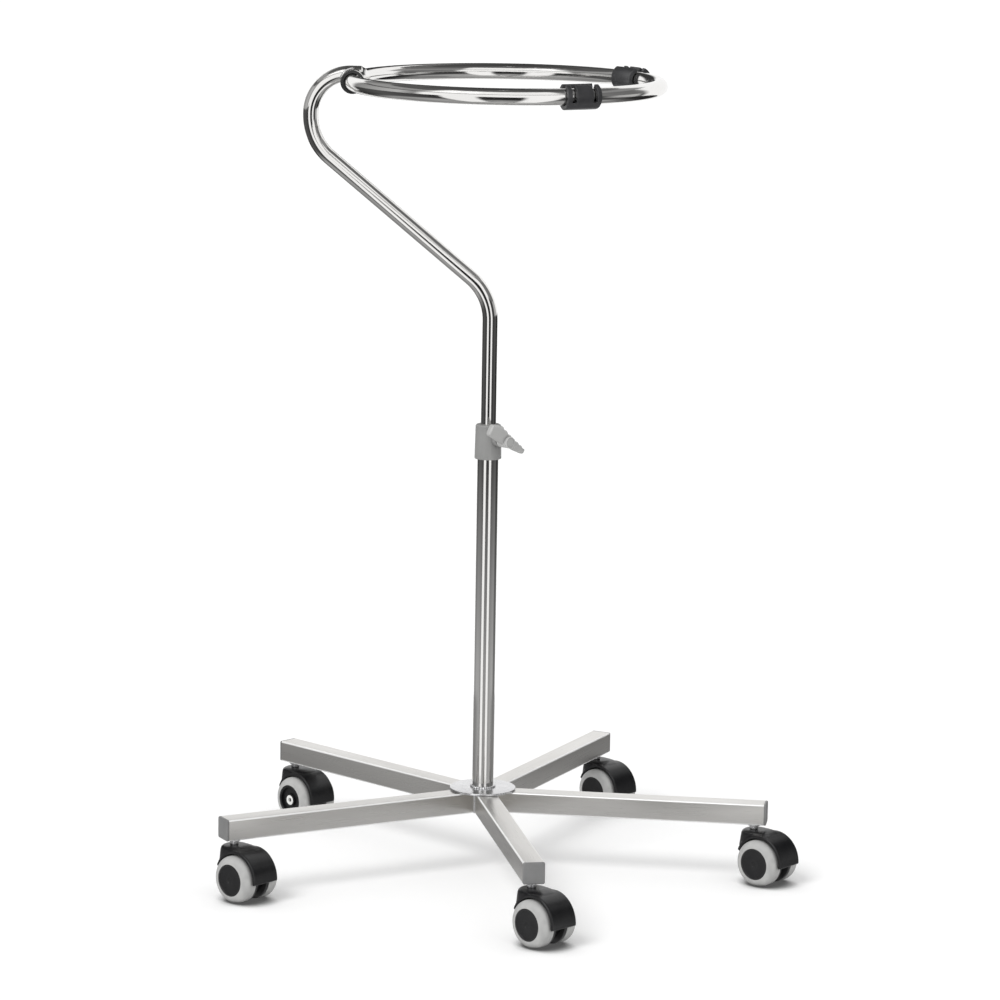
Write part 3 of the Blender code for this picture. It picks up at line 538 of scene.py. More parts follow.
# %% Turned and lofted shapes
EDGE_ANGLE = math.radians(38)


def to_mesh(name, builder):
    """Turns a builder into a smooth mesh whose real edges stay crisp."""
    bmesh.ops.recalc_face_normals(builder, faces=builder.faces)
    mesh = bpy.data.meshes.new(name)
    builder.to_mesh(mesh)
    builder.free()
    mesh.shade_smooth()
    mesh.set_sharp_from_angle(angle=EDGE_ANGLE)
    return mesh


def skin(builder, first, second):
    """Faces between two loops; a loop may hold one point many times where it meets an axis."""
    for i, corner in enumerate(first):
        j = (i + 1) % len(first)
        corners = list(dict.fromkeys((corner, first[j], second[j], second[i])))
        if len(corners) > 2:
            builder.faces.new(corners)


def lathe(name, profile, sides=96):
    """A closed (radius, height) profile turned about Z."""
    builder = bmesh.new()
    angles = [2 * math.pi * i / sides for i in range(sides)]
    loops = []
    for radius, height in profile:
        if radius == 0:
            loops.append([builder.verts.new((0, 0, height))] * sides)
            continue
        spots = [(radius * math.cos(a), radius * math.sin(a), height) for a in angles]
        loops.append([builder.verts.new(spot) for spot in spots])
    for first, second in zip(loops, loops[1:] + loops[:1]):
        skin(builder, first, second)
    return to_mesh(name, builder)


def loft(name, outlines, closed=False):
    """A skin through outlines with equally many points, capped unless it closes on itself."""
    builder = bmesh.new()
    loops = [[builder.verts.new(point) for point in outline] for outline in outlines]
    for first, second in zip(loops, loops[1:] + (loops[:1] if closed else [])):
        skin(builder, first, second)
    if not closed:
        builder.faces.new(loops[0])
        builder.faces.new(loops[-1])
    return to_mesh(name, builder)


def pipe(name, outer, inner):
    """A tube with an outer and an inner skin, open at both ends."""
    return loft(name, list(outer) + list(reversed(inner)), closed=True)


def arc(radius, start, end, steps):
    """Points on an arc, with its angles in degrees."""
    angles = [math.radians(start + (end - start) * i / steps) for i in range(steps + 1)]
    return [(radius * math.cos(a), radius * math.sin(a)) for a in angles]


print("turning and lofting tools ready")

# %% [markdown]
# Mouldings are more than one simple shape, so their parts are joined and cut with Boolean modifiers. A bevel
# could round the edges that this leaves, but it fails where many faces meet. Turning the whole moulding into
# small voxels and smoothing it melts every edge alike, as a moulding tool does.

# %% Joining and cutting
MELT_SHARE = 0.5
MELT_PASSES = 6


def rod(name, radius, low, high, sides):
    """A plain round bar on Z, for boring holes."""
    return lathe(name, [(0, low), (radius, low), (radius, high), (0, high)], sides)


def carve(mesh, *steps, rounding=None):
    """Joins or cuts solids, given as (operation, mesh) pairs; a rounding melts all edges by that size."""
    body = bpy.data.objects.new("carved", mesh)
    scene.collection.objects.link(body)
    tools = []
    for operation, tool_mesh in steps:
        tool = bpy.data.objects.new("tool", tool_mesh)
        scene.collection.objects.link(tool)
        tools.append(tool)
        change = body.modifiers.new(operation, "BOOLEAN")
        change.operation = operation
        change.solver = "EXACT"
        change.object = tool
    if rounding:
        voxels = body.modifiers.new("voxels", "REMESH")
        voxels.mode = "VOXEL"
        voxels.voxel_size = rounding
        melt = body.modifiers.new("melt", "SMOOTH")
        melt.factor = MELT_SHARE
        melt.iterations = MELT_PASSES
    bpy.context.view_layer.update()
    graph = bpy.context.evaluated_depsgraph_get()
    result = bpy.data.meshes.new_from_object(body.evaluated_get(graph))
    for made in [body] + tools:
        bpy.data.objects.remove(made)
    result.shade_smooth()
    result.set_sharp_from_angle(angle=math.pi if rounding else EDGE_ANGLE)
    return result


print("carving tools ready")

# %% [markdown]
# Each finished mesh has to stand in for its solid. It is told which body it moves with, which solid it
# replaces and which finish it gets. One function does it for all of them, so that no piece can be
# left behind when a joint moves.

# %% Standing in for the solids
def dress(name, mesh, finish, body, solid, place=None):
    """Stands a piece in for its solid, or beside it where there is none."""
    piece = bpy.data.objects.new(name, mesh)
    if not mesh.materials:
        mesh.materials.append(finish)
    scene.collection.objects.link(piece)
    if place is not None:
        piece.matrix_world = place
    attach(piece, body)
    if solid:
        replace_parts(piece, solid)


print("ready to dress", len(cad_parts), "solids")

# %% [markdown]
# The base is five lengths of 25 mm square tube, sawn to a point so that they close like the slices of a cake,
# and closed outside with a moulded cap. Such tube is drawn with a small corner radius. The corners matter
# here: they carry the thin bright line that runs along every leg, which is a painted highlight. A cube with a
# bevel would do for one leg, but the sawn point would bend its corners, so the outline is a square with real
# arcs, run from the mitre to the cap. One mesh serves all five legs.

# %% Legs and end caps
LEG_NAMES = ("right", "rear_right", "rear_left", "left", "front")
FIRST_LEG = -8
LEG_STEP = 72
LEG_TURNS = {name: math.radians(FIRST_LEG + LEG_STEP * i) for i, name in enumerate(LEG_NAMES)}
MITRE_ANGLE = math.radians(LEG_STEP / 2)
LEG_SIDE = 25 * MM
LEG_WALL = 1.5 * MM
LEG_CORNER = 2 * MM
LEG_UNDERSIDE = 69 * MM
LEG_MIDDLE = LEG_UNDERSIDE + LEG_SIDE / 2
LEG_END = 335.5 * MM
CAP_END = 338.5 * MM
CAP_EDGE = 1.4 * MM
CAP_PLUG = 8 * MM
FIT_GAP = 0.3 * MM


def square_outline(side, corner, steps=6):
    """A square with round corners, as (across, up), with a point in the middle of its top and bottom."""
    inset = side / 2 - corner
    outline = []
    for quarter, (y, z) in enumerate(((1, 1), (-1, 1), (-1, -1), (1, -1))):
        for u, v in arc(corner, 90 * quarter, 90 * quarter + 90, steps):
            outline.append((y * inset + u, z * inset + v))
        if quarter % 2 == 0:
            outline.append((0.0, z * side / 2))
    return outline


def leg_outlines(side, corner):
    """The sawn inner end and the square outer end of one skin of a leg."""
    outline = square_outline(side, corner)
    slope = 1 / math.tan(MITRE_ANGLE)
    sawn = [(FIT_GAP / 2 + abs(y) * slope, y, z + LEG_MIDDLE) for y, z in outline]
    return [sawn, [(LEG_END, y, z + LEG_MIDDLE) for y, z in outline]]


def cap_outlines():
    """A cap from its plug inside the tube to its rounded face."""
    plug = LEG_SIDE - 2 * LEG_WALL - 2 * FIT_GAP
    seat = LEG_END + FIT_GAP
    sections = [(LEG_END - CAP_PLUG, plug), (seat, plug), (seat, LEG_SIDE)]
    for u, v in arc(CAP_EDGE, 0, 90, 6):
        sections.append((CAP_END - CAP_EDGE + v, LEG_SIDE - 2 * (CAP_EDGE - u)))
    return [[(x, y, z + LEG_MIDDLE) for y, z in square_outline(side, LEG_CORNER)] for x, side in sections]


leg_bore = leg_outlines(LEG_SIDE - 2 * LEG_WALL, LEG_CORNER / 2)
leg_mesh = pipe("leg", leg_outlines(LEG_SIDE, LEG_CORNER), leg_bore)
cap_mesh = loft("end_cap", cap_outlines())
for name, turn in LEG_TURNS.items():
    place = Matrix.Rotation(turn, 4, "Z")
    dress(f"leg_{name}_tube", leg_mesh, brushed_steel, "base", f"leg_{name}", place)
    dress(f"end_cap_{name}_cap", cap_mesh, cap_plastic, "base", f"end_cap_{name}", place)
print("legs:", len(LEG_TURNS), "faces in each:", len(leg_mesh.polygons))

# %% [markdown]
# Where two legs meet, a short upright weld closes the corner. A plain rod would look machined, so each weld
# swells and shrinks a little on its way up, and the five of them make one piece.

# %% Welds in the mitre corners
MITRE_BEAD = 1.3 * MM
MITRE_PLACE = LEG_SIDE / 2 / math.sin(MITRE_ANGLE)
MITRE_STEPS = 25
MITRE_POOL_STEPS = 3
WELD_RIPPLE = 0.15

builder = bmesh.new()
for turn in LEG_TURNS.values():
    corner = Matrix.Rotation(turn + MITRE_ANGLE, 4, "Z") @ Vector((MITRE_PLACE, 0, LEG_UNDERSIDE))
    loops = []
    for i in range(MITRE_STEPS + 1):
        swell = MITRE_BEAD * (1 - WELD_RIPPLE * abs(math.sin(i * math.pi / MITRE_POOL_STEPS)))
        spots = [Vector((u, v, LEG_SIDE * i / MITRE_STEPS)) for u, v in arc(swell, 0, 330, 11)]
        loops.append([builder.verts.new(corner + spot) for spot in spots])
    for first, second in zip(loops, loops[1:]):
        skin(builder, first, second)
    builder.faces.new(loops[0])
    builder.faces.new(loops[-1])
dress("mitre_welds", to_mesh("mitre_welds", builder), zinc, "base", None)
print("mitre welds:", len(LEG_TURNS))

# %% [markdown]
# A round plate covers the mitres, and the column is welded on it. A hand-made weld is a row of small
# overlapping pools, so the bead is a ring whose section swells and shrinks as it goes round. It could be a
# bump, but a real swell also changes the bead's outline against the plate.

# %% Hub plate, column and its weld
PLATE_RADIUS = 39 * MM
PLATE_LOW = LEG_UNDERSIDE + LEG_SIDE + FIT_GAP
PLATE_THICKNESS = 2.5 * MM
PLATE_HIGH = PLATE_LOW + PLATE_THICKNESS
PLATE_EDGE = 0.8 * MM
PLATE_CHAMFER = 0.3 * MM
COLUMN_RADIUS = 12.5 * MM
COLUMN_WALL = 1.5 * MM
COLUMN_FOOT = PLATE_HIGH + FIT_GAP
COLUMN_LENGTH = 408 * MM
COLUMN_TOP = COLUMN_FOOT + COLUMN_LENGTH
BEAD = 2.6 * MM
BEAD_ROOT = (-0.4 * MM, -0.3 * MM)
BEAD_SPAN = (-4, 94, 10)
BEAD_POOLS = 34
BEAD_RIPPLE = 0.13
BEAD_STEPS = BEAD_POOLS * 8

plate_profile = [
    (0, PLATE_LOW), (PLATE_RADIUS - PLATE_CHAMFER, PLATE_LOW), (PLATE_RADIUS, PLATE_LOW + PLATE_CHAMFER),
]
for u, v in arc(PLATE_EDGE, 0, 90, 6):
    plate_profile.append((PLATE_RADIUS - PLATE_EDGE + u, PLATE_HIGH - PLATE_EDGE + v))
plate_profile += [(COLUMN_RADIUS, PLATE_HIGH), (0, PLATE_HIGH)]
plate_mesh = lathe("hub_plate_disc", plate_profile, sides=128)
dress("hub_plate_disc", plate_mesh, zinc, "base", "hub_plate")

column_bore = COLUMN_RADIUS - COLUMN_WALL
column_mesh = lathe("column_tube", [
    (column_bore, COLUMN_FOOT), (COLUMN_RADIUS, COLUMN_FOOT),
    (COLUMN_RADIUS, COLUMN_TOP), (column_bore, COLUMN_TOP),
], sides=128)
dress("column_tube", column_mesh, polished_steel, "base", "column")

bead_loops = []
for i in range(BEAD_STEPS):
    turn = 2 * math.pi * i / BEAD_STEPS
    swell = 1 - BEAD_RIPPLE * abs(math.sin(turn * BEAD_POOLS / 2))
    outward = Vector((math.cos(turn), math.sin(turn), 0))
    foot = outward * COLUMN_RADIUS + Vector((0, 0, PLATE_HIGH))
    section = [BEAD_ROOT] + arc(BEAD * swell, *BEAD_SPAN)
    bead_loops.append([foot + outward * u + Vector((0, 0, v)) for u, v in section])
dress("column_weld", loft("column_weld", bead_loops, closed=True), zinc, "base", None)
print("column stands from", round(COLUMN_FOOT / MM, 1), "to", round(COLUMN_TOP / MM, 1), "mm")

# %% [markdown]
# The clamp's collar sits on the column's top and guides the mast. It is a turned shape, a little wider at its
# foot, with a short boss on one side for the clamp screw. The lathe makes both, and a Boolean joins them and
# drills the screw's hole, so the edge where they meet is true.

# %% Clamp collar
CLAMP_HEIGHT = 515.6 * MM
CLAMP_TURN = math.radians(-48)
COLLAR_FOOT = -23.5 * MM
COLLAR_STEP = -10.2 * MM
COLLAR_TOP = 17 * MM
COLLAR_FOOT_RADIUS = 15.8 * MM
COLLAR_TOP_RADIUS = 15 * MM
COLLAR_EDGE = 2.2 * MM
COLUMN_SEAT = 12.8 * MM
MAST_SEAT = 9.3 * MM
BOSS_PROFILE = ((0, 12), (7, 12), (7, 19.2), (6.2, 20), (0, 20))
SCREW_BORE = 4.3 * MM
BORE_REACH = 40 * MM
clamp_place = Matrix.Translation((0, 0, CLAMP_HEIGHT)) @ Matrix.Rotation(CLAMP_TURN, 4, "Z")


def lying(mesh):
    """Lays a mesh that stands on Z along +X."""
    mesh.transform(Matrix.Rotation(math.pi / 2, 4, "Y"))
    return mesh


collar_profile = [(COLUMN_SEAT, COLLAR_FOOT)]
for inward, up in ((0.6, 0), (0.2, 0.2), (0, 0.6)):
    collar_profile.append((COLLAR_FOOT_RADIUS - inward * MM, COLLAR_FOOT + up * MM))
for u, v in arc(COLLAR_EDGE, 0, 90, 8):
    collar_profile.append((COLLAR_TOP_RADIUS - COLLAR_EDGE + u, COLLAR_TOP - COLLAR_EDGE + v))
collar_profile += [(MAST_SEAT, COLLAR_TOP), (MAST_SEAT, COLLAR_STEP), (COLUMN_SEAT, COLLAR_STEP)]
boss_profile = [(radius * MM, height * MM) for radius, height in BOSS_PROFILE]
collar_mesh = carve(
    lathe("collar", collar_profile),
    ("UNION", lying(lathe("boss", boss_profile, sides=48))),
    ("DIFFERENCE", lying(rod("bore", SCREW_BORE, 0, BORE_REACH, sides=32))),
)
dress("clamp_collar_moulding", collar_mesh, clamp_plastic, "base", "clamp_collar",
      clamp_place)
print("collar faces:", len(collar_mesh.polygons))

# %% [markdown]
# The wing handle on the boss is a lever for the fingers: a broad paddle on one side of its hub and a slim
# tail on the other. It could be sculpted, but its width and thickness at five stations describe it fully, and
# a loft runs through them. The grip scallops are a ripple along one edge. Voxels then melt its edges. The hub
# is turned and set into it.

# %% Wing handle
HANDLE_START = 22 * MM
HANDLE_END = 39 * MM
HANDLE_TILT = math.radians(-31)
HANDLE_VOXEL = 0.35 * MM
HUB_EDGE = 0.5 * MM
WING_MIDDLE = 29.5 * MM
WING_STATIONS = (
    (-30 * MM, 2.0 * MM, 15.0 * MM, 8.0 * MM),
    (-15 * MM, 4.2 * MM, 18.5 * MM, 10.75 * MM),
    (0 * MM, 2.0 * MM, 15.0 * MM, 13.5 * MM),
    (15.5 * MM, 2.0 * MM, 11.0 * MM, 10.75 * MM),
    (31 * MM, 2.0 * MM, 7.0 * MM, 8.0 * MM),
)
WING_START = WING_STATIONS[0][0]
WING_END = WING_STATIONS[-1][0]
WING_STEPS = 61
WING_POINTS = 40
WING_SQUARENESS = 0.6
WING_TIP = 2 * MM
SCALLOP_PITCH = 7.6 * MM
SCALLOP_DEPTH = 1.7 * MM


def between(stations, along):
    """Values read between stations, half straight and half eased; a station starts with its place."""
    for first, second in zip(stations, stations[1:]):
        if along <= second[0]:
            share = (along - first[0]) / (second[0] - first[0])
            share = share * share * (3 - 2 * share) * 0.5 + share * 0.5
            return [a + (b - a) * share for a, b in zip(first[1:], second[1:])]
    return list(stations[-1][1:])


def squared(value, power):
    """A sine or cosine drawn towards one, which turns a circle into a rounded square."""
    return math.copysign(abs(value) ** power, value)


def wing_outline(along, shrink):
    """A section of the wing, as wide and thick as the stations say, with its scallop."""
    lift, width, thickness = between(WING_STATIONS, along)
    scallop = SCALLOP_DEPTH * (0.5 - 0.5 * math.cos(2 * math.pi * along / SCALLOP_PITCH))
    outline = []
    for i in range(WING_POINTS):
        angle = 2 * math.pi * (i + 0.5) / WING_POINTS
        across = squared(math.cos(angle), WING_SQUARENESS) * (width / 2 - shrink)
        out = squared(math.sin(angle), WING_SQUARENESS) * (thickness / 2 - shrink)
        if math.cos(angle) < 0:
            across += scallop * abs(math.cos(angle))
        outline.append((across - lift, along, WING_MIDDLE + out))
    return outline


wing_outlines = []
for i in range(WING_STEPS):
    along = WING_START + (WING_END - WING_START) * i / (WING_STEPS - 1)
    to_end = min(along - WING_START, WING_END - along)
    shrink = WING_TIP - math.sqrt(max(WING_TIP ** 2 - max(WING_TIP - to_end, 0) ** 2, 0))
    wing_outlines.append(wing_outline(along, shrink))
wings_mesh = loft("wings", wing_outlines)
wings_mesh.transform(Matrix.Rotation(HANDLE_TILT, 4, "Z"))
handle_mesh = lying(carve(wings_mesh, rounding=HANDLE_VOXEL))
dress("wing_handle_moulding", handle_mesh, handle_plastic, "wing_screw", "wing_handle",
      clamp_place)
handle_hub_mesh = lying(lathe("handle_hub", [
    (0, HANDLE_START), (6.5 * MM, HANDLE_START), (7 * MM, HANDLE_START + HUB_EDGE),
    (6.9 * MM, HANDLE_END - HUB_EDGE), (6.5 * MM, HANDLE_END), (5.8 * MM, HANDLE_END),
    (5.5 * MM, HANDLE_END - HUB_EDGE), (0, HANDLE_END - HUB_EDGE),
], sides=64))
dress("wing_handle_hub", handle_hub_mesh, handle_plastic, "wing_screw", None, clamp_place)
print("handle faces:", len(handle_mesh.polygons))

# %% [markdown]
# The mast is one length of 18 mm tube with two mandrel bends and a hook, so its centre line is straight lines
# joined by arcs. A curve object with a round bevel would do, but then its bends could not be given as radius
# and angle. So sections are swept along the line, and the last ones round its end.

# %% Mast
MAST_TURN = math.radians(-5.5)
MAST_RADIUS = 9 * MM
MAST_FOOT = 240 * MM
MAST_EDGE = 0.8 * MM
LOWER_CORNER = 685 * MM
RISE = math.radians(39.3)
BEND_RADIUS = 63 * MM
BEND_STEPS = 24
HOOK_REACH = 212.8 * MM
HOOK_RADIUS = 47 * MM
HOOK_STEPS = 32
HOOK_FOOT = 2 * MM
HOOK_LEAD = 3 * MM
MAST_PAST_SLEEVE = 10 * MM
mast_place = Matrix.Rotation(MAST_TURN, 4, "Z")

bend = math.pi / 2 - RISE
tangent = BEND_RADIUS * math.tan(bend / 2)
upper_corner = LOWER_CORNER + HOOK_REACH * math.tan(RISE)
hook_start = upper_corner + tangent + HOOK_FOOT
mast_end = hook_start + HOOK_RADIUS
sleeve_x = HOOK_RADIUS + HOOK_LEAD - HOOK_REACH
edge_x = sleeve_x + MAST_PAST_SLEEVE - MAST_EDGE
UP = Vector((0, 0, 1))
SIDEWAYS = Vector((0, 1, 0))


def bend_line(centre_x, centre_z, radius, start, end, steps):
    """The centre line through a bend: (x, z, heading from +X towards +Z)."""
    quarter = math.copysign(math.pi / 2, end - start)
    line = []
    for i in range(steps + 1):
        angle = start + (end - start) * i / steps
        x = centre_x + radius * math.cos(angle)
        z = centre_z + radius * math.sin(angle)
        line.append((x, z, angle + quarter))
    return line


def tube_section(centre, across, up, radius, sides=56):
    """A round section in the plane of two directions."""
    angles = [2 * math.pi * i / sides for i in range(sides)]
    return [centre + across * radius * math.cos(a) + up * radius * math.sin(a) for a in angles]


mast_line = [(0.0, MAST_FOOT, math.pi / 2)]
mast_line += bend_line(-BEND_RADIUS, LOWER_CORNER - tangent, BEND_RADIUS, 0.0, bend, BEND_STEPS)
mast_line += bend_line(
    BEND_RADIUS - HOOK_REACH, upper_corner + tangent, BEND_RADIUS, math.pi + bend, math.pi, BEND_STEPS)
mast_line += bend_line(
    HOOK_RADIUS - HOOK_REACH, hook_start, HOOK_RADIUS, math.pi, math.pi / 2, HOOK_STEPS)
mast_line.append((edge_x, mast_end, 0.0))

mast_loops = []
for x, z, heading in mast_line:
    across = Vector((-math.sin(heading), 0, math.cos(heading)))
    mast_loops.append(tube_section(Vector((x, 0, z)), across, SIDEWAYS, MAST_RADIUS))
for u, v in arc(MAST_EDGE, 0, 90, 5)[1:]:
    centre = Vector((edge_x + v, 0, mast_end))
    mast_loops.append(tube_section(centre, UP, SIDEWAYS, MAST_RADIUS - MAST_EDGE + u))
mast_mesh = loft("mast_tube", mast_loops)
dress("mast_tube", mast_mesh, polished_steel, "mast", "mast", mast_place)
print("mast end:", round(mast_end / MM, 1), "mm high")

# %% [markdown]
# The ring is a hoop of 19 mm tube that goes through a short sleeve under the mast's end. A torus would give
# the hoop, but the sleeve, its bushes and the clips bend with it. So one function lays a round section across
# the ring's line at any angle, and all of these pieces are made of its sections.

# %% Ring and sleeve
RING_RADIUS = 177 * MM
RING_TUBE = 9.5 * MM
RING_STEPS = 240
MAST_OVER_RING = 7.5 * MM
SLEEVE_RADIUS = 14 * MM
SLEEVE_WALL = 1.8 * MM
SLEEVE_LENGTH = 56 * MM
SLEEVE_STEPS = 16
ring_centre = Vector((sleeve_x + RING_RADIUS, 0, mast_end - MAST_OVER_RING))


def ring_section(angle, radius, sides=48):
    """A round section across the ring's line at an angle round it."""
    outward = Vector((math.cos(angle), math.sin(angle), 0))
    return tube_section(ring_centre + outward * RING_RADIUS, outward, UP, radius, sides)


def along_ring(along):
    """The angle at a distance along the ring from the sleeve's middle."""
    return math.pi + along / RING_RADIUS


ring_loops = [ring_section(2 * math.pi * i / RING_STEPS, RING_TUBE) for i in range(RING_STEPS)]
ring_mesh = loft("ring_tube", ring_loops, closed=True)
dress("ring_tube", ring_mesh, polished_steel, "mast", "ring", mast_place)

sleeve_spots = [along_ring(SLEEVE_LENGTH * (i / SLEEVE_STEPS - 0.5)) for i in range(SLEEVE_STEPS + 1)]
sleeve_mesh = pipe(
    "ring_sleeve_tube",
    [ring_section(spot, SLEEVE_RADIUS) for spot in sleeve_spots],
    [ring_section(spot, SLEEVE_RADIUS - SLEEVE_WALL) for spot in sleeve_spots],
)
dress("ring_sleeve_tube", sleeve_mesh, polished_steel, "mast", "ring_sleeve", mast_place)
print("ring height:", round(ring_centre.z / MM, 1), "mm")

# %% [markdown]
# A black bush in each end of the sleeve keeps the ring from scraping on it, and shows as a dark rim. It is a
# pipe of ring sections with a rounded lip. Where the mast's end saddles the sleeve, a small weld runs round
# the joint. Its line is where the two tubes cut each other, which is worked out from their radii.

# %% Sleeve bushes and the saddle weld
RING_SEAT = 10.15 * MM
BUSH_DEPTH = 10 * MM
BUSH_RADIUS = 11.9 * MM
BUSH_RIM = SLEEVE_RADIUS - 0.6 * MM
BUSH_LIP = 1.5 * MM
BUSH_EDGE = 1 * MM
SADDLE_BEAD = 1.5 * MM
SADDLE_STEPS = 80
SADDLE_POOL_STEPS = 4


def bush_mesh(name, side):
    """A bush on one side of the sleeve, from inside the sleeve to its lip."""
    start = SLEEVE_LENGTH / 2 + FIT_GAP
    stations = [(start - BUSH_DEPTH, BUSH_RADIUS), (start, BUSH_RADIUS), (start, BUSH_RIM)]
    stations += [(start + BUSH_LIP + v, BUSH_RIM - BUSH_EDGE + u) for u, v in arc(BUSH_EDGE, 0, 90, 5)]
    outer = [ring_section(along_ring(side * along), radius) for along, radius in stations]
    inner = [ring_section(along_ring(side * along), RING_SEAT) for along, _ in stations]
    return pipe(name, outer, inner)


for name, side in (("ring_bush_front", 1), ("ring_bush_rear", -1)):
    dress(f"{name}_rim", bush_mesh(name, side), black_plastic, "mast", name, mast_place)

weld_loops = []
saddle = math.asin((SLEEVE_RADIUS - MAST_OVER_RING) / MAST_RADIUS)
for i in range(SADDLE_STEPS + 1):
    angle = math.pi - saddle + (math.pi + 2 * saddle) * i / SADDLE_STEPS
    y = MAST_RADIUS * math.cos(angle)
    z = MAST_OVER_RING + MAST_RADIUS * math.sin(angle)
    x = -math.sqrt(max(SLEEVE_RADIUS ** 2 - z ** 2, 0))
    outward = Vector((0, math.cos(angle), math.sin(angle)))
    swell = SADDLE_BEAD * (1 - WELD_RIPPLE * abs(math.sin(i * math.pi / SADDLE_POOL_STEPS)))
    centre = Vector((sleeve_x, 0, ring_centre.z)) + Vector((x, y, z))
    weld_loops.append(tube_section(centre, outward, Vector((-1, 0, 0)), swell, sides=12))
dress("sleeve_weld", loft("sleeve_weld", weld_loops), zinc, "mast", None, mast_place)
print("bush rims stand out", round((BUSH_LIP + BUSH_EDGE) / MM, 1), "mm")

# %% [markdown]
# Two springy clips ride on the ring and stop the basin from rattling. Each is a C in section, open at its top
# and cut into three fingers on its outer side. The C is swept along the ring and two saw cuts make the
# fingers. A bevel would tangle in the cuts, so voxels melt the edges here too.

# %% Grip clips
CLIP_TURNS = {"clip_front": math.radians(-56.9), "clip_rear": math.radians(39.3)}
CLIP_LENGTH = 40 * MM
CLIP_STEPS = 20
CLIP_RADIUS = 15 * MM
CLIP_SPAN = (112.5, 427.5, 48)
CLIP_SLOT = 5.4 * MM
CLIP_SLOT_FLOOR = 6 * MM
CLIP_EAR = 5 * MM
CLIP_VOXEL = 0.4 * MM


def saw_cut(angle):
    """A block across the clip's outer upper side, at an angle round the ring."""
    builder = bmesh.new()
    bmesh.ops.create_cube(builder, size=1)
    size = Matrix.Diagonal((2 * CLIP_RADIUS, CLIP_SLOT, 2 * CLIP_RADIUS, 1))
    outward = Vector((math.cos(angle), math.sin(angle), 0))
    middle = ring_centre + outward * (RING_RADIUS + CLIP_RADIUS)
    middle.z += CLIP_RADIUS - CLIP_SLOT_FLOOR
    place = Matrix.Translation(middle) @ Matrix.Rotation(angle, 4, "Z") @ size
    bmesh.ops.transform(builder, verts=builder.verts, matrix=place)
    return to_mesh("saw_cut", builder)


def clip_mesh(name, turn):
    """A C swept along the ring, with its two cuts."""
    outline = arc(CLIP_RADIUS, *CLIP_SPAN) + list(reversed(arc(RING_SEAT, *CLIP_SPAN)))
    loops = []
    for i in range(CLIP_STEPS + 1):
        angle = turn + CLIP_LENGTH / RING_RADIUS * (i / CLIP_STEPS - 0.5)
        outward = Vector((math.cos(angle), math.sin(angle), 0))
        middle = ring_centre + outward * RING_RADIUS
        loops.append([middle + outward * u + UP * v for u, v in outline])
    to_cut = (CLIP_LENGTH / 2 - CLIP_EAR - CLIP_SLOT / 2) / RING_RADIUS
    cuts = [("DIFFERENCE", saw_cut(turn + side * to_cut)) for side in (-1, 1)]
    return carve(loft(name, loops), *cuts, rounding=CLIP_VOXEL)


for name, turn in CLIP_TURNS.items():
    mesh = clip_mesh(name, turn)
    dress(f"{name}_moulding", mesh, clip_plastic, "mast", name, mast_place)
print("clips:", len(CLIP_TURNS))

# %% [markdown]
# Each castor has a black hood over two wheels, with a boss that takes the steel stem and a web between the
# wheels that carries the axle. The hood is the hardest shape of the stand. It could be sculpted, but its
# forms are simple one by one: the guard is an outline seen along the axle and run across it with rounded
# rims, the boss is an egg seen from above that is drawn back over the guard, two round pockets make room for
# the wheels, and a bore takes the stem.

# %% Castor hood
TRAIL = 20.7 * MM
HOOD_RADIUS = 33 * MM
HOOD_CORE = 20 * MM
GUARD_SPAN = (-2.5, 160, 60)
CORE_SPAN = (165, 340, 40)
HOOD_HALF = 18.5 * MM
HOOD_TOP = 34.6 * MM
HOOD_RIM = 1.7 * MM
HOOD_VOXEL = 0.6 * MM
POCKET_RADIUS = 28.9 * MM
WEB_HALF = 6 * MM
STEM_BORE = 4.4 * MM
STEM_BORE_FLOOR = HOOD_TOP - 22 * MM
TAIL_SQUARENESS = 0.55
BOSS_LEVELS = (
    (14.6, 16.5, 17.8, 6.0), (27.0, 13.8, 17.8, 6.0), (31.0, 12.9, 17.6, 8.0), (32.6, 12.4, 17.0, 7.0),
    (33.5, 12.0, 16.0, 3.5), (34.2, 11.2, 13.8, -1.0), (34.6, 9.8, 10.4, -5.5),
)


def across_axle(mesh):
    """Lays a mesh that stands on Z along the axle, +Y."""
    mesh.transform(Matrix.Rotation(-math.pi / 2, 4, "X"))
    return mesh


def boss_outline(height, front, across, tail, sides=72):
    """An egg seen from above: round towards the stem's front, drawn out to a squarer tail."""
    outline = []
    for i in range(sides):
        angle = 2 * math.pi * (i + 0.5) / sides
        if math.cos(angle) > 0:
            along = (tail + TRAIL) * squared(math.cos(angle), TAIL_SQUARENESS)
            width = across * squared(math.sin(angle), TAIL_SQUARENESS)
        else:
            along = front * math.cos(angle)
            width = across * math.sin(angle)
        outline.append((along - TRAIL, width, height))
    return outline


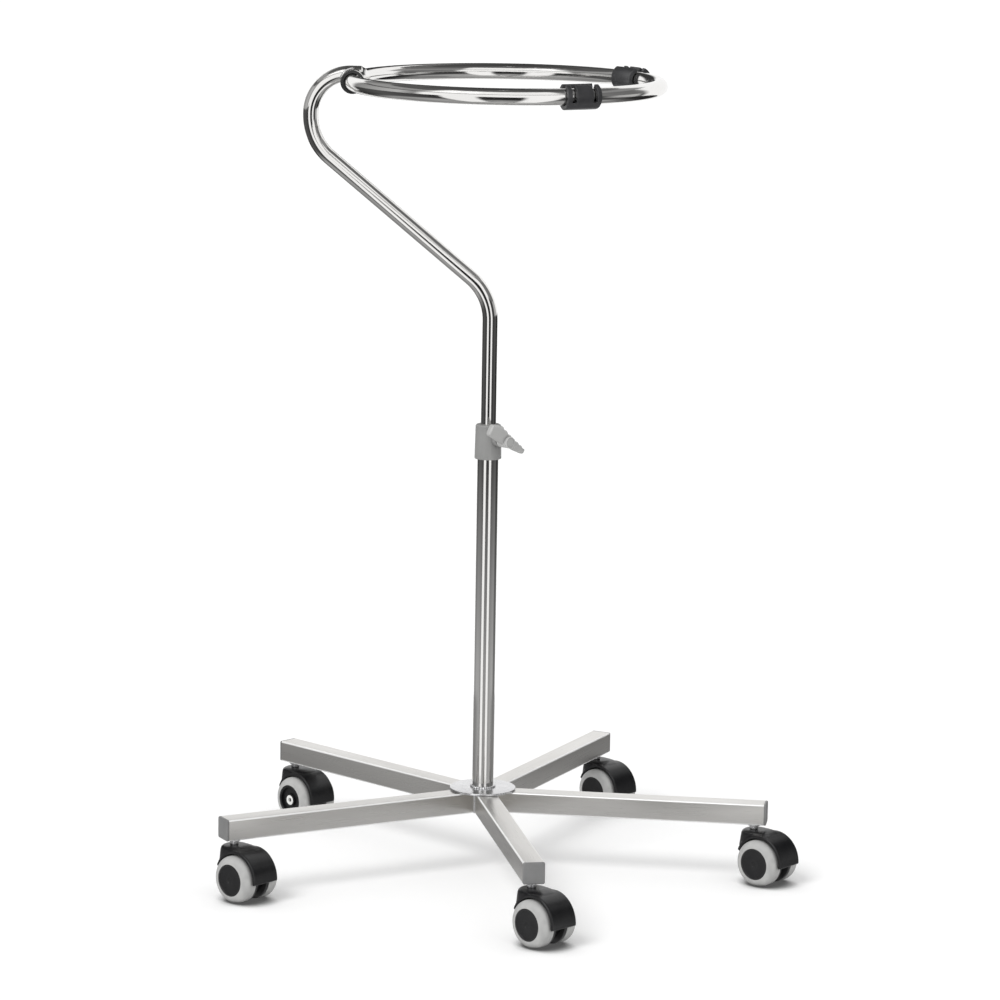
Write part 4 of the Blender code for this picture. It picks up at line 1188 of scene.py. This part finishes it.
def hood_mesh():
    """The guard with its boss, pockets and bore, round the axle's middle."""
    outline = arc(HOOD_RADIUS, *GUARD_SPAN) + arc(HOOD_CORE, *CORE_SPAN)
    rim = []
    for u, v in arc(HOOD_RIM, 0, 90, 5):
        rim.append((HOOD_HALF - HOOD_RIM + v, 1 - (HOOD_RIM - u) / HOOD_RADIUS))
    stations = [(-across, scale) for across, scale in reversed(rim)] + rim
    guard = loft("hood", [[(u * s, across, v * s) for u, v in outline] for across, s in stations])
    boss_loops = [boss_outline(*(size * MM for size in level)) for level in BOSS_LEVELS]
    steps = [("UNION", loft("boss", boss_loops))]
    for low, high in ((WEB_HALF, BORE_REACH), (-BORE_REACH, -WEB_HALF)):
        steps.append(("DIFFERENCE", across_axle(rod("pocket", POCKET_RADIUS, low, high, sides=96))))
    stem_bore = rod("stem_bore", STEM_BORE, STEM_BORE_FLOOR, BORE_REACH, sides=48)
    stem_bore.transform(Matrix.Translation((-TRAIL, 0, 0)))
    steps.append(("DIFFERENCE", stem_bore))
    return carve(guard, *steps, rounding=HOOD_VOXEL)


hood = hood_mesh()
print("hood faces:", len(hood.polygons))

# %% [markdown]
# A wheel is turned, so the lathe makes it from its section. Its core is black: an inner drum beside the web
# and a capped hub on the outside. The grey tread sits on the outer part, with a wide round shoulder and the
# thin line that its mould leaves. One wheel of the stand has lost its cap and shows a white bearing, so the
# hub has a second section.

# %% Castor wheels
WHEEL_RADIUS = 27.5 * MM
WHEEL_INNER = 6.8 * MM
WHEEL_OUTER = 27.2 * MM
DRUM_END = 10.5 * MM
DRUM_RADIUS = 26.9 * MM
DRUM_EDGE = 0.7 * MM
AXLE_BORE = 3.3 * MM
AXLE_COVER = 5 * MM
HUB_RADIUS = 18.4 * MM
TREAD_BORE = 18.7 * MM
TREAD_EDGE = 0.6 * MM
TREAD_SHOULDER = 8.4 * MM
MOULD_LINE = ((-0.3, 0.12), (-0.1, 0), (0.1, 0), (0.3, 0.12))
CAP_SINK = 0.3 * MM
CAPPED_FACE = ((8, 0.2), (3.6, 0.15), (3.2, 0.5), (0, 0.55))
BARE_FACE = ((15.2, 3), (8, 3), (7.7, 0.6), (6.2, 0.6), (6.2, 4), (0, 4))
HUB_LIP = ((18.4, 0.7), (18.2, 0.2), (17.7, 0), (16.6, 0), (16.3, 0.35), (15.6, 0.45))


def tyre_mesh():
    """The grey tread on the outer part of the wheel."""
    profile = [
        (TREAD_BORE, DRUM_END), (WHEEL_RADIUS - TREAD_EDGE, DRUM_END), (WHEEL_RADIUS, DRUM_END + TREAD_EDGE),
    ]
    middle = (DRUM_END + WHEEL_OUTER - TREAD_SHOULDER) / 2
    for along, down in MOULD_LINE:
        profile.append((WHEEL_RADIUS - down * MM, middle + along * MM))
    for u, v in arc(TREAD_SHOULDER, 0, 90, 14):
        profile.append((WHEEL_RADIUS - TREAD_SHOULDER + u, WHEEL_OUTER - TREAD_SHOULDER + v))
    profile += [(TREAD_BORE, WHEEL_OUTER)]
    return across_axle(lathe("tyre", profile, sides=128))


def hub_mesh(outer_face):
    """The black core with its drum; the outer face is a list of (radius, depth) in millimetres."""
    face = WHEEL_OUTER - CAP_SINK
    drum_end = DRUM_END - FIT_GAP
    profile = [
        (0, face - AXLE_COVER), (AXLE_BORE, face - AXLE_COVER), (AXLE_BORE, WHEEL_INNER),
        (DRUM_RADIUS - DRUM_EDGE, WHEEL_INNER), (DRUM_RADIUS, WHEEL_INNER + DRUM_EDGE),
        (DRUM_RADIUS, drum_end), (HUB_RADIUS, drum_end),
    ]
    profile += [(radius * MM, face - depth * MM) for radius, depth in HUB_LIP + outer_face]
    return across_axle(lathe("hub", profile, sides=96))


def bearing_mesh():
    """The white nylon bearing that shows where a wheel has lost its cap."""
    face = WHEEL_OUTER - 2 * CAP_SINK
    section = ((2.8, 3), (6, 3), (6, 0.4), (5.6, 0), (3.2, 0), (2.8, 0.4))
    profile = [(radius * MM, face - depth * MM) for radius, depth in section]
    return across_axle(lathe("bearing", profile, sides=64))


tyre = tyre_mesh()
hub = hub_mesh(CAPPED_FACE)
bare_hub = hub_mesh(BARE_FACE)
print("tyre faces:", len(tyre.polygons), "hub faces:", len(hub.polygons))

# %% [markdown]
# The stem is a turned steel pin with a flange under the leg: a thread goes up into the leg and a smooth
# shank down into the hood. It is one profile on the lathe. The thread stays hidden in the leg, so it is left
# plain.

# %% Castor stem
STEM_SEAT = LEG_UNDERSIDE - FIT_GAP
STEM_SHOULDER = WHEEL_RADIUS + HOOD_TOP + FIT_GAP
SHANK_RADIUS = 3.7 * MM
SHANK_LENGTH = 21 * MM
NECK_RADIUS = 5 * MM
FLANGE_RADIUS = 7 * MM
FLANGE_HEIGHT = 2.5 * MM
STEM_EDGE = 0.3 * MM
THREAD_LENGTH = 12 * MM

flange_foot = STEM_SEAT - FLANGE_HEIGHT
stem = lathe("stem", [
    (0, STEM_SHOULDER - SHANK_LENGTH), (SHANK_RADIUS, STEM_SHOULDER - SHANK_LENGTH),
    (SHANK_RADIUS, STEM_SHOULDER), (NECK_RADIUS - STEM_EDGE, STEM_SHOULDER),
    (NECK_RADIUS, STEM_SHOULDER + STEM_EDGE), (NECK_RADIUS, flange_foot),
    (FLANGE_RADIUS - STEM_EDGE, flange_foot), (FLANGE_RADIUS, flange_foot + STEM_EDGE),
    (FLANGE_RADIUS, STEM_SEAT), (NECK_RADIUS, STEM_SEAT),
    (NECK_RADIUS, STEM_SEAT + THREAD_LENGTH), (0, STEM_SEAT + THREAD_LENGTH),
], sides=48)
print("stem neck:", round((flange_foot - STEM_SHOULDER) / MM, 1), "mm")

# %% [markdown]
# The five castors share those meshes. Five copies could be made, but shared meshes keep the castors alike and
# the scene small. Each castor is set on its leg's end, swung to the heading it had when the stand was rolled
# into place, and its second wheel is the first one turned half round.

# %% Castors on the legs
HEADINGS = {"right": -40, "rear_right": -45, "rear_left": -47, "left": -43, "front": -46}
STEM_PLACE = 323.5 * MM
BARE_WHEEL = "rear_left_b"

for name, turn in LEG_TURNS.items():
    foot = Vector((STEM_PLACE * math.cos(turn), STEM_PLACE * math.sin(turn), 0))
    swivel = Matrix.Translation(foot) @ Matrix.Rotation(math.radians(HEADINGS[name]), 4, "Z")
    axle = swivel @ Matrix.Translation((TRAIL, 0, WHEEL_RADIUS))
    castor = f"castor_{name}"
    dress(f"{castor}_stem_steel", stem, zinc, "base", f"{castor}_stem", swivel)
    dress(f"{castor}_hood_moulding", hood, black_plastic, castor, f"{castor}_hood", axle)
    for side, half_turn in (("a", 0.0), ("b", math.pi)):
        wheel = axle @ Matrix.Rotation(half_turn, 4, "Z")
        body = f"{castor}_wheel_{side}"
        tyre_solid = f"{castor}_tyre_{side}"
        hub_solid = f"{castor}_hub_{side}"
        dress(f"{tyre_solid}_rubber", tyre, tread_grey, body, tyre_solid, wheel)
        bare = f"{name}_{side}" == BARE_WHEEL
        core = bare_hub if bare else hub
        dress(f"{hub_solid}_core", core, black_plastic, body, hub_solid, wheel)
        if bare:
            dress(f"{castor}_bearing", bearing_mesh(), white_nylon, body, None, wheel)
print("castors:", len(HEADINGS))

# %% [markdown]
# The pieces that stay inside others keep their own solids and only get a finish. They could be left out of
# the dressing, but a plain grey would show if someone takes the stand apart.

shown = {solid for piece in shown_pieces() for solid in piece.get("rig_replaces", [])}
hidden_finish = {"clamp_screw": zinc, "clamp_pad": tread_grey, "guide_bush": tread_grey}
for solid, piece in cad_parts.items():
    if solid in shown:
        continue
    piece.data.materials.clear()
    piece.data.materials.append(hidden_finish.get(solid, zinc))
